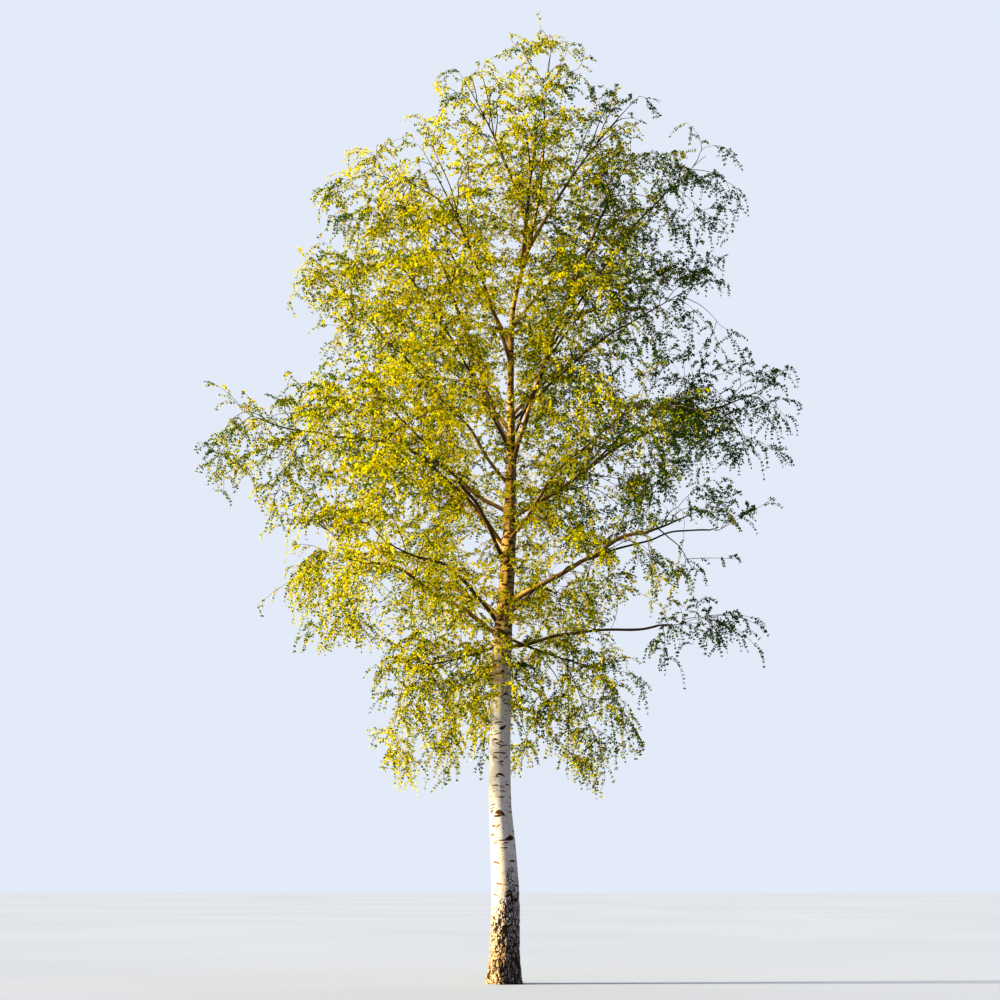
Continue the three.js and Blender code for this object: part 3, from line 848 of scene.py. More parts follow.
@dataclass(frozen=True)
class Openness:
    """How open the crown is from place to place: at its rim, on its shaded side and in its patches."""

    crown: CrownFrame
    patches: tuple[Patch, ...] = tuple(
        Patch(*row)
        for row in (
            (-0.45, 16.5, 0.45, 0.3, 0.12), (1.75, 16.2, 0.45, 0.45, 0.08), (0.8, 16.52, 0.6, 0.3, 0.15),
            (-1.05, 15.95, 0.6, 0.45, 0.14), (-0.45, 15.1, 0.34, 0.34, 0.5),
            (-0.45, 15.75, 0.35, 0.35, 0.55), (1.0, 15.8, 0.4, 0.3, 0.5), (-1.05, 15.1, 0.42, 0.42, 2.6),
            (2.15, 15.75, 0.7, 0.45, 0.05), (2.48, 14.35, 0.5, 0.52, 0.33), (2.35, 15.05, 0.4, 0.34, 0.5),
            (0.95, 13.56, 0.36, 0.36, 1.9), (0.27, 15.03, 0.36, 0.36, 1.6), (1.62, 14.6, 0.38, 0.65, 2.0),
            (-2.5, 14.5, 0.8, 0.55, 0.03), (-1.6, 14.25, 0.45, 0.42, 0.5), (-3.2, 13.65, 0.35, 0.35, 0.46),
            (-1.15, 13.6, 0.45, 0.4, 0.42), (-1.85, 13.65, 0.35, 0.32, 0.6), (-2.5, 12.85, 0.42, 0.6, 3.2),
            (-2.5, 12.1, 0.36, 0.34, 2.0), (-3.1, 12.15, 0.36, 0.4, 2.4), (-3.95, 12.15, 0.42, 0.45, 0.33),
            (3.6, 14.45, 0.7, 0.45, 0.33), (3.75, 12.55, 0.45, 0.6, 2.6), (3.0, 12.1, 0.45, 0.4, 4.0),
            (3.0, 12.9, 0.42, 0.4, 0.42), (3.0, 11.4, 0.36, 0.32, 0.62), (3.65, 10.7, 0.5, 0.3, 0.33),
            (3.7, 10.0, 0.42, 0.32, 0.55), (2.97, 10.7, 0.35, 0.3, 1.6), (2.4, 11.0, 0.4, 0.6, 0.65),
            (3.75, 11.35, 0.62, 0.36, 0.14), (-4.1, 10.5, 1.0, 0.75, 0.1), (-3.8, 11.4, 0.4, 0.36, 0.42),
            (-3.15, 10.7, 0.4, 0.36, 0.46), (1.7, 10.3, 0.6, 0.5, 0.52), (2.35, 9.95, 0.45, 0.42, 0.33),
            (3.0, 10.0, 0.4, 0.32, 0.4), (2.3, 8.6, 0.38, 0.32, 0.4), (2.92, 7.93, 0.42, 0.34, 0.44),
            (-4.45, 9.55, 0.6, 0.38, 0.4), (-4.75, 8.6, 0.45, 0.34, 1.7), (-5.0, 9.35, 0.45, 0.32, 0.5),
            (0.15, 9.9, 0.4, 0.8, 1.5), (0.2, 11.2, 0.4, 0.7, 1.5), (0.45, 12.4, 0.4, 0.6, 1.4),
            (3.05, 8.7, 0.42, 0.42, 3.6), (3.25, 9.2, 0.8, 0.45, 1.45), (4.05, 8.9, 0.5, 0.36, 0.66),
            (0.7, 8.5, 0.9, 0.32, 0.72), (1.75, 8.45, 0.4, 0.4, 0.45), (4.3, 8.3, 0.45, 0.45, 0.6),
            (-4.5, 7.9, 0.38, 0.32, 0.5), (5.0, 9.2, 0.4, 0.4, 0.7), (-3.1, 8.05, 0.45, 0.36, 3.5),
            (1.6, 7.9, 0.42, 0.36, 0.3), (3.65, 8.05, 0.48, 0.34, 1.6), (2.25, 7.2, 0.45, 0.36, 0.34),
            (3.45, 7.22, 0.66, 0.34, 0.04), (2.9, 7.2, 0.42, 0.4, 0.33), (2.2, 6.55, 0.36, 0.32, 0.6),
            (3.65, 6.6, 0.36, 0.3, 0.45), (2.9, 5.85, 0.34, 0.3, 0.62), (3.05, 6.5, 0.45, 0.28, 1.5),
            (4.75, 6.9, 0.65, 0.62, 0.12), (-0.4, 7.2, 0.36, 0.36, 0.55), (0.95, 6.5, 0.36, 0.36, 0.5),
            (4.2, 7.2, 0.4, 0.28, 0.4), (-3.8, 7.95, 0.38, 0.32, 1.3), (-3.95, 6.5, 0.45, 0.4, 0.46),
            (-4.6, 6.8, 0.5, 0.9, 0.05), (-2.0, 6.2, 0.6, 0.5, 0.46), (1.15, 6.6, 0.6, 0.38, 0.46),
            (-3.3, 7.2, 0.5, 0.3, 0.42), (-3.1, 5.9, 0.42, 0.35, 3.6), (-3.1, 7.25, 0.38, 0.3, 0.45),
            (-3.85, 5.75, 0.45, 0.45, 0.1), (-2.4, 5.2, 0.35, 0.35, 1.6), (2.15, 5.85, 0.45, 0.36, 0.12),
            (3.35, 5.9, 0.55, 0.32, 0.4), (4.2, 5.85, 0.4, 0.32, 3.5), (3.5, 5.0, 0.95, 0.36, 0.12),
            (2.25, 5.0, 0.35, 0.35, 1.3), (-1.1, 4.6, 0.55, 0.45, 1.4), (-1.35, 3.95, 0.6, 0.5, 1.6),
        )
    )
    patch_edge: Span = (0.55, 1.3)
    bare_from: float = 0.68
    stem_steps: int = 15
    least_steps: int = 3
    narrowest: float = 0.3
    rim: float = 0.22
    rim_share: float = 0.5
    shaded_from: Span = (0.3, 2.4)
    shaded_share: float = 0.9
    top_from: Span = (15.2, 16.3)
    top_share: float = 1.1

    def rim_nearness(self, points: Array) -> Array:
        """Measures how far out points lie at their height and azimuth.

        Args:
            points: The points, (n, 3).

        Returns:
            Numbers from 0 at the trunk to 1 at the crown's outline.
        """
        flat = norm(points[:, :2], axis=1)
        way = points[:, :2] / np.maximum(flat, 1e-6)[:, None]
        middles, spreads = self.crown.middles, self.crown.spreads
        level = 1 - ((points[:, 2:] - middles[:, 2]) / self.crown.talls) ** 2
        along = way @ middles[:, :2].T
        room = along**2 - np.sum(middles[:, :2] ** 2, axis=1) + spreads**2 * level
        outer = np.where((room > 0) & (level > 0), along + np.sqrt(np.maximum(room, 0)), 0.0).max(axis=1)
        return flat / np.maximum(outer, self.narrowest)

    def patch_share(self, points: Array) -> Array:
        """Gives the share of the usual growth that the patches leave or give to each point.

        Args:
            points: The points, (n, 3).

        Returns:
            The shares, where a patch reaches through the crown along the photo's line of sight.
        """
        eye = np.array(EYE)
        shown = eye + (points - eye) * (-eye[1] / (points[:, 1:2] - eye[1]))
        share = np.ones(len(points))
        for patch in self.patches:
            across = (shown[:, 0] - patch.x) / patch.half_width
            up = (shown[:, 2] - patch.z) / patch.half_height
            share *= 1 + (patch.share - 1) * (1 - ramp(np.hypot(across, up), *self.patch_edge))
        return share

    def clear_share(self, points: Array) -> Array:
        """How much of the growth at each point its patches take away, from 0 to 1."""
        return np.clip(1 - self.patch_share(points), 0, 1)

    def kept_share(self, mass: FoliageMass) -> float:
        """The share of a mass's stem that is left where it runs into an open patch."""
        shares = np.linspace(0, 1, self.stem_steps)
        bare = self.clear_share(mass.stem.at(shares)) > self.bare_from
        return float(shares[max(int(np.argmax(bare)) - 1, self.least_steps)]) if bare.any() else 1.0

    def kept_twigs(self, mass: FoliageMass) -> list[Twig]:
        """The twigs of a mass that leave the rest of its stem and don't end in an open patch."""
        ends = np.array([twig.line.end for twig in mass.twigs]).reshape(-1, 3)
        bare = self.clear_share(ends) > self.bare_from
        limit = self.kept_share(mass)
        return [twig for twig, gone in zip(mass.twigs, bare) if not gone and twig.share <= limit]

    def density(self, points: Array) -> Array:
        """How much growth each place holds, where 1 is the usual."""
        rim = thinned(self.rim_share, ramp(self.rim_nearness(points), 1 - self.rim, 1.0))
        side = thinned(self.shaded_share, ramp(points[:, 0], *self.shaded_from))
        top = thinned(self.top_share, ramp(points[:, 2], *self.top_from))
        return rim * side * top * self.patch_share(points)


@dataclass
class InnerGrowth:
    """The place round the trunk, inside the ring of masses, where short sprays leave trunk and boughs."""

    crown: CrownFrame
    openness: Openness
    sprays: int = 560
    radius: float = 1.9
    nearest: float = 0.3
    inward: float = 0.7
    low: float = 4.5
    high: float = 13.8
    below: float = 0.4
    room_below: float = 0.5
    room_above: float = 0.4
    outside_masses: float = 0.92
    front: Span = (0.0, 0.5)
    front_low: Span = (6.0, 6.6)
    front_high: Span = (7.6, 9.0)
    front_open: float = 0.65
    heights: int = 60
    sides: int = 8
    bark_depth: float = 0.9
    rise: float = 0.6
    limb_shares: tuple[float, float, int] = (0.1, 1.0, 12)
    tries: int = 9000

    def starts(self) -> tuple[Array, Array]:
        """Gives the places on the trunk and the boughs where the inner sprays can start.

        Returns:
            The points and the directions out of the limb or along it.
        """
        middle, radius = self.crown.line.at(np.linspace(self.low - self.below, self.high, self.heights))
        points, ways = [], []
        for turn in np.linspace(0, FULL_TURN, self.sides, endpoint=False):
            out = np.array([math.cos(turn), math.sin(turn), 0.0])
            points.append(middle + out * radius[:, None] * self.bark_depth)
            ways.append(np.broadcast_to(unit(out + UP * self.rise), middle.shape))
        for mass in self.crown.masses:
            shares = np.linspace(*self.limb_shares) * (1 if mass.bough else self.openness.kept_share(mass))
            limb = mass.bough or mass.stem
            points.append(self.crown.bough_line(mass, shares) if mass.bough else limb.at(shares))
            ways.append(limb.ways(shares))
        return np.concatenate(points), np.concatenate(ways)

    def holds(self, points: Array) -> Array:
        """Tells which points lie in this place."""
        middle, _ = self.crown.line.at(np.minimum(points[:, 2], self.crown.line.tip))
        flat = norm((points - middle)[:, :2], axis=1)
        level = (points[:, 2] > self.low - self.room_below) & (points[:, 2] < self.high + self.room_above)
        return level & (flat < self.radius)

    def targets(self, luck: Luck) -> Array:
        """Spreads the ends of the inner sprays round the trunk.

        Args:
            luck: The random numbers.

        Returns:
            The ends, (n, 3), fewer of them in front of the trunk than behind it.
        """
        height = luck.uniform(self.low, self.high, self.tries)
        middle, _ = self.crown.line.at(height)
        turn = luck.uniform(0, FULL_TURN, self.tries)
        outward = luck.uniform(0, 1, self.tries) ** self.inward
        places = middle + level_way(turn, self.nearest + (self.radius - self.nearest) * outward)
        free = np.ones(self.tries, dtype=bool)
        for mass in self.crown.masses:
            free &= mass.depth_in(places) > self.outside_masses
        bare = ramp(-places[:, 1], *self.front) * (1 - ramp(places[:, 2], *self.front_high))
        bare = bare * ramp(places[:, 2], *self.front_low)
        share = (1 - self.front_open * bare) * (1 - self.openness.clear_share(places))
        free &= luck.uniform(0, 1, self.tries) < share
        return well_apart(places[free], self.sprays, luck)


@dataclass
class Branching:
    """How a branchlet picks the place on a limb that it leaves, and which way it leaves it."""

    far: float = 1.5
    onward: float = 0.5
    downward: float = 0.5
    close: float = 0.3
    too_close: float = 0.3
    along: float = 0.55
    straight: float = 0.7
    lift: float = 0.35
    weeping_lift: float = 0.15
    stray: float = 0.15
    bend: float = 0.5

    def arcs(self, targets: Array, points: Array, ways: Array, weep: float, luck: Luck) -> Arc:
        """Grows branchlets to their ends from the places on the limbs that suit them best.

        Args:
            targets: The branchlets' ends, (n, 3).
            points: The places on the limbs.
            ways: The directions of the limbs there.
            weep: How much the mass of foliage weeps.
            luck: The random numbers.

        Returns:
            The branchlets' middle lines.
        """
        off = targets[:, None] - points
        far = norm(off, axis=2)
        onward = np.sum(off * ways, axis=2) / np.maximum(far, 1e-6)
        cost = far * (self.far - self.onward * onward) + np.maximum(0, off[..., 2]) * self.downward
        nearest = np.argmin(cost + self.close * np.maximum(0, self.too_close - far), axis=1)
        start, way = points[nearest], ways[nearest]
        gap = targets - start
        length = norm(gap, axis=1, keepdims=True)
        lift = UP * (self.lift + self.weeping_lift * weep)
        first = way * self.along + gap / np.maximum(length, 1e-6) * self.straight + lift
        first = unit(first + luck.normal(0, self.stray, gap.shape))
        return Arc(start, start + first * length * self.bend, targets)


@dataclass
class FinerGrowth:
    """Carries the crown's twigs on to branchlets, within the masses' own spaces."""

    crown: CrownFrame
    openness: Openness
    inner: InnerGrowth
    branching: Branching = field(default_factory=Branching)
    sprays_per_cubic_metre: float = 8.2
    fullest: float = 2.4
    fewest_sprays: int = 10
    tries: int = 12000
    round_space: float = 0.97
    border_margin: float = 0.03
    limb_shares: tuple[float, float, int] = (0.12, 1.0, 12)
    longest: float = 1.2
    barest_middle: float = 0.8
    thick: float = 0.0048
    thickness: Span = (0.75, 1.15)

    def limb_places(self, mass: FoliageMass) -> tuple[Array, Array]:
        """Gives the places on a mass's stem and twigs where branchlets can start.

        Args:
            mass: The mass.

        Returns:
            The points and the directions in which the limb runs there.
        """
        shares = np.linspace(*self.limb_shares)
        left = shares * self.openness.kept_share(mass)
        points, ways = [mass.stem.at(left)], [mass.stem.ways(left)]
        for twig in self.openness.kept_twigs(mass):
            points.append(twig.line.at(shares))
            ways.append(twig.line.ways(shares))
        return np.concatenate(points), np.concatenate(ways)

    def targets(self, mass: FoliageMass, luck: Luck) -> Array:
        """Spreads the ends of a mass's branchlets through its own space.

        Args:
            mass: The mass.
            luck: Its random numbers.

        Returns:
            The ends, (n, 3), well apart from each other.
        """
        cube = luck.uniform(-1, 1, (self.tries, 3))
        ball = cube[norm(cube, axis=1) <= self.round_space]
        places = mass.middle + ball * [mass.plan.spread, mass.plan.spread, mass.plan.tall]
        places = places[self.crown.in_own_space(mass, places, self.border_margin)]
        places = places[luck.uniform(0, self.fullest, len(places)) < self.openness.density(places)]
        box = 2**3 * mass.plan.spread**2 * mass.plan.tall
        volume = box * len(places) / self.tries * self.fullest
        count = max(self.fewest_sprays, round(self.sprays_per_cubic_metre * volume))
        return well_apart(places, count, luck)

    def grow(self) -> Sprays:
        """Grows every mass's branchlets and the inner ones.

        Returns:
            The branchlets of the whole crown.
        """
        jobs = []
        for mass in self.crown.masses:
            luck = luck_of(Draw.MASS_SPRAYS, mass.index)
            jobs.append((mass, luck, self.targets(mass, luck), *self.limb_places(mass)))
        luck = luck_of(Draw.INNER_SPRAYS)
        jobs.append((self.crown.masses[0], luck, self.inner.targets(luck), *self.inner.starts()))
        rows, owners = [], []
        for mass, luck, targets, points, ways in jobs:
            grown = self.branching.arcs(targets, points, ways, mass.plan.weep, luck)
            rows.append((grown.start, grown.bend, grown.end))
            owners.append(np.full(len(targets), mass.index))
        owner, arcs = np.concatenate(owners), Arc(*(np.concatenate(row) for row in zip(*rows)))
        short = norm(arcs.end - arcs.start, axis=1) < self.longest
        short &= self.openness.clear_share(arcs.at([0.5])[:, 0]) < self.barest_middle
        owner, arcs = owner[short], arcs.picked(short)
        radii = self.thick * luck_of(Draw.BRANCHLETS).uniform(*self.thickness, len(owner))
        return Sprays(arcs, radii, self.crown.weeps[owner])


@dataclass
class FineGrowth:
    """Carries the branchlets on to fine twigs, to their left and right and on from their ends."""

    crown: CrownFrame
    openness: Openness
    inner: InnerGrowth
    per_branchlet: int = 7
    fewest: int = 3
    starts_at: float = 0.24
    end_side: float = 0.15
    onward: Span = (0.4, 0.8)
    sideways: float = 0.8
    stray: float = 0.42
    length: Span = (0.17, 0.42)
    weeping_length: Span = (0.85, 0.4)
    hanging_share: float = 0.07
    hanging_longer: float = 1.5
    hanging_drop: float = 0.85
    drop: Span = (0.05, 0.4)
    weeping_drop: float = 0.22
    drop_slower: float = 0.55
    shorter: tuple[float, ...] = (0.75, 0.5, 0.35)
    bend: float = 0.5
    arch: float = 0.04
    box_margin: float = 0.03
    trunk_gap: float = 0.05

    def within_reach(self, points: Array) -> Array:
        """Tells which points the growth may come to.

        Args:
            points: The points, (n, 3).

        Returns:
            For each, whether it is in the round space of some mass, inside the solids' box and off the trunk.
        """
        inside = self.inner.holds(points)
        for mass in self.crown.masses:
            inside |= mass.depth_in(points) <= 1.0
        inside &= np.all((points > CAD_LOW - self.box_margin) & (points < CAD_HIGH + self.box_margin), axis=1)
        middle, radius = self.crown.line.at(np.minimum(points[:, 2], self.crown.line.tip))
        return inside & (norm((points - middle)[:, :2], axis=1) > radius + self.trunk_gap)

    def grow(self, sprays: Sprays) -> FineTwigs:
        """Grows the fine twigs of every branchlet.

        Args:
            sprays: The branchlets.

        Returns:
            The fine twigs that stay within the tree's reach.
        """
        luck = luck_of(Draw.FINE_TWIGS)
        many = self.per_branchlet
        shares = np.linspace(self.starts_at, 1.0, many)
        points, ways = sprays.arcs.at(shares), sprays.arcs.ways(shares)
        size = points.shape[:2]
        side = unit(np.cross(ways, UP))
        side *= np.where(np.arange(many) % 2, 1, -1)[None, :, None]
        side[:, -1] *= self.end_side
        way = ways * luck.uniform(*self.onward, (*size, 1)) + side * self.sideways
        way = unit(way + luck.normal(0, self.stray, (*size, 3)))
        weep = sprays.weeps[:, None]
        least, more = self.weeping_length
        length = luck.uniform(*self.length, size) * (least + more * weep)
        hanging = luck.uniform(0, 1, size) < self.hanging_share * weep
        length = np.where(hanging, length * self.hanging_longer, length)
        drop = np.where(hanging, self.hanging_drop, luck.uniform(*self.drop, size) + self.weeping_drop * weep)
        start, way, length, drop = (a.reshape(-1, *a.shape[2:]) for a in (points, way, length, drop))
        out = way * (1 - self.drop_slower * drop[:, None]) - UP * drop[:, None]

        def ends(scale: Array) -> Array:
            """The twigs' ends if their lengths are scaled."""
            return start + out * (length * scale)[:, None]

        scale = np.ones(len(start))
        for shorter in self.shorter:
            scale = np.where(self.within_reach(ends(scale)), scale, shorter)
        end = ends(scale)
        spray, at = np.repeat(np.arange(sprays.count), many), np.tile(shares, sprays.count)
        kept = self.within_reach(end) & (luck.uniform(0, 1, len(end)) > self.openness.clear_share(end))
        kept &= np.bincount(spray, kept, sprays.count)[spray] >= self.fewest
        length = length * scale
        bend = start + way * (self.bend * length)[:, None] + UP * (self.arch * length)[:, None]
        return FineTwigs(Arc(start, bend, end).picked(kept), length[kept], spray[kept], at[kept])


# Finishes


class LeafTint(Enum):
    """The tints of the spring leaves, from the sunny side of the crown to its shaded side."""

    PALE_GOLD = "pale_gold"
    GOLD = "gold"
    SPRING = "spring"
    OLIVE = "olive"
    SHADE = "shade"


@dataclass
class Recipe:
    """Adds nodes to a material or to a group, each with its settings and what feeds it."""

    tree: NodeTree

    def feed(self, node: Node, feeds: dict[str | int, Feed]) -> None:
        """Feeds some inputs of a node.

        Args:
            node: The node.
            feeds: For each input, the socket that feeds it or its plain value.
        """
        for name, feed in feeds.items():
            socket = node.inputs[name]
            if isinstance(feed, Socket):
                self.tree.links.new(feed, socket)
            elif isinstance(feed, tuple) and socket.type == "RGBA":
                socket.default_value = (*feed, 1.0)
            else:
                socket.default_value = feed

    def add(self, kind: str, feeds: dict[str | int, Feed] | None = None, **settings: object) -> Node:
        """Adds one node.

        Args:
            kind: Blender's name for the node type.
            feeds: For each input, the socket that feeds it or its plain value.
            settings: The node's own settings.

        Returns:
            The new node.
        """
        node = self.tree.nodes.new(kind)
        for name, value in settings.items():
            setattr(node, name, value)
        self.feed(node, feeds or {})
        return node

    def parts(self, vector: Socket) -> tuple[Socket, ...]:
        """The three parts of a vector."""
        return tuple(self.add("ShaderNodeSeparateXYZ", {0: vector}).outputs)

    def vector(self, x: Feed, y: Feed, z: Feed) -> Socket:
        """A vector of three parts."""
        return self.add("ShaderNodeCombineXYZ", {0: x, 1: y, 2: z}).outputs[0]

    def stretched(self, place: Socket, stretch: Socket | Place) -> Socket:
        """A place, stretched along each axis."""
        return self.add("ShaderNodeVectorMath", {0: place, 1: stretch}, operation="MULTIPLY").outputs[0]

    def noise(self, place: Socket, grain: Socket | Place, detail: float = 2.0, rough: float = 0.5) -> Socket:
        """Noise with so many grains to a metre along each axis, as numbers about 0.5."""
        feeds = {"Vector": self.stretched(place, grain), "Scale": 1.0, "Detail": detail, "Roughness": rough}
        return self.add("ShaderNodeTexNoise", feeds).outputs["Fac"]

    def step(self, value: Socket, low: float, high: float, least: float = 0.0, most: float = 1.0) -> Socket:
        """A smooth step of a value, from the least at low to the most at high."""
        feeds = {"Value": value, "From Min": low, "From Max": high, "To Min": least, "To Max": most}
        return self.add("ShaderNodeMapRange", feeds, interpolation_type="SMOOTHSTEP").outputs["Result"]

    def maths(self, operation: str, first: Feed, second: Feed) -> Socket:
        """The result of one sum."""
        return self.add("ShaderNodeMath", {0: first, 1: second}, operation=operation).outputs[0]

    def plus(self, first: Feed, second: Feed) -> Socket:
        """Two values added up."""
        return self.maths("ADD", first, second)

    def times(self, first: Feed, second: Feed) -> Socket:
        """Two values multiplied."""
        return self.maths("MULTIPLY", first, second)

    def shifted(self, value: Feed, noise: Socket, amount: float) -> Socket:
        """A value that a noise about 0.5 shifts up and down."""
        return self.plus(value, self.times(self.maths("SUBTRACT", noise, 0.5), amount))

    def weighed(self, first: Feed, second: Feed, share: float) -> Socket:
        """Two values in one, the first with a share of the weight and the second with the rest."""
        return self.plus(self.times(first, share), self.times(second, 1 - share))

    def mix(self, mask: Feed, first: Feed, second: Feed) -> Socket:
        """The second colour laid over the first by a mask."""
        return self.add("ShaderNodeMix", {0: mask, 6: first, 7: second}, data_type="RGBA").outputs[2]

    def layered(self, base: Feed, *layers: tuple[Feed, Feed]) -> Feed:
        """The base colour under layers of a mask and a colour each, from the lowest up."""
        for mask, colour in layers:
            base = self.mix(mask, base, colour)
        return base


class SharedEffects:
    """The effects that several finishes use, each a node group that is built once."""

    @staticmethod
    def group(
        name: str, inputs: dict[str, float | None], outputs: tuple[str, ...]
    ) -> tuple[Recipe, Node, Node]:
        """Starts a node group.

        Args:
            name: The group's name.
            inputs: Its inputs, each with its usual value, or with none if it takes a place.
            outputs: The names of its outputs, which are plain numbers.

        Returns:
            A recipe for its nodes, and the group's input and output nodes.
        """
        tree = bpy.data.node_groups.new(name, "ShaderNodeTree")
        for port, value in inputs.items():
            kind = "NodeSocketVector" if value is None else "NodeSocketFloat"
            socket = tree.interface.new_socket(port, in_out="INPUT", socket_type=kind)
            if value is not None:
                socket.default_value = value
        for port in outputs:
            tree.interface.new_socket(port, in_out="OUTPUT", socket_type="NodeSocketFloat")
        nodes = Recipe(tree)
        return nodes, nodes.add("NodeGroupInput"), nodes.add("NodeGroupOutput")

    @staticmethod
    @cache
    def lenticels() -> NodeTree:
        """Builds the dark dashes that run round white birch bark.

        Returns:
            A group that takes the place on the bark, how many dashes there are to a metre across and up it
            and how much of it they cover, and gives the dashes as a mask.
        """
        inputs = {"Place": None, "Across": 12.0, "Up": 110.0, "Cover": 0.5}
        nodes, given, result = SharedEffects.group("lenticels", inputs, ("Dashes",))
        place, across, up, cover = (given.outputs[name] for name in inputs)
        fine = nodes.noise(place, nodes.vector(across, across, up), 1.5)
        broad = nodes.noise(place, (3.0, 3.0, 7.0))
        level = nodes.plus(nodes.times(nodes.maths("SUBTRACT", 1.0, cover), 0.34), 0.5)
        level = nodes.shifted(level, broad, -0.3)
        dashes = nodes.step(nodes.maths("SUBTRACT", fine, level), 0.0, 0.035)
        nodes.feed(result, {"Dashes": dashes})
        return nodes.tree

    @staticmethod
    @cache
    def mottle() -> NodeTree:
        """Builds the uneven shade that bark, twigs and leaves have.

        Returns:
            A group that takes a place and the sizes of the broad and the fine patches, and gives a broad
            mask, a fine one, and both together as a height.
        """
        inputs = {"Place": None, "Broad Scale": 2.0, "Fine Scale": 40.0}
        nodes, given, result = SharedEffects.group("mottle", inputs, ("Broad", "Fine", "Height"))
        place, *scales = (given.outputs[name] for name in inputs)
        masks = {}
        for name, scale, detail in zip(("Broad", "Fine"), scales, (2.0, 3.0)):
            feeds = {"Vector": place, "Scale": scale, "Detail": detail}
            masks[name] = nodes.step(nodes.add("ShaderNodeTexNoise", feeds).outputs["Fac"], 0.32, 0.68)
        nodes.feed(result, masks | {"Height": nodes.weighed(masks["Broad"], masks["Fine"], 0.4)})
        return nodes.tree


class Finish:
    """What every finish does: it starts a material and places the shared effects and the bump in it."""

    name: str

    def start(self) -> tuple[Material, Recipe, Node, Socket]:
        """Starts the material.

        Returns:
            The material, a recipe for its nodes, its Principled shader and the place on the piece.
        """
        made = bpy.data.materials.new(self.name)
        made.use_nodes = True
        nodes = Recipe(made.node_tree)
        shader = made.node_tree.nodes["Principled BSDF"]
        return made, nodes, shader, nodes.add("ShaderNodeTexCoord").outputs["Object"]

    def mottle(self, nodes: Recipe, place: Socket, broad: float, fine: float) -> tuple[Socket, ...]:
        """The uneven shade with patches of two sizes: its broad mask, its fine one and its height."""
        feeds = {"Place": place, "Broad Scale": broad, "Fine Scale": fine}
        return tuple(nodes.add("ShaderNodeGroup", feeds, node_tree=SharedEffects.mottle()).outputs)

    def lenticels(self, nodes: Recipe, place: Socket, across: float, up: float, cover: float) -> Socket:
        """The mask of the dark dashes, by their number to a metre across and up and how much they cover."""
        feeds = {"Place": place, "Across": across, "Up": up, "Cover": cover}
        return nodes.add("ShaderNodeGroup", feeds, node_tree=SharedEffects.lenticels()).outputs["Dashes"]

    def bump(self, nodes: Recipe, height: Socket, strength: float, deep: float) -> Socket:
        """The normal over a height of which 1 stands for some metres, with a strength from 0 to 1."""
        feeds = {"Height": height, "Strength": strength, "Distance": deep}
        return nodes.add("ShaderNodeBump", feeds).outputs["Normal"]


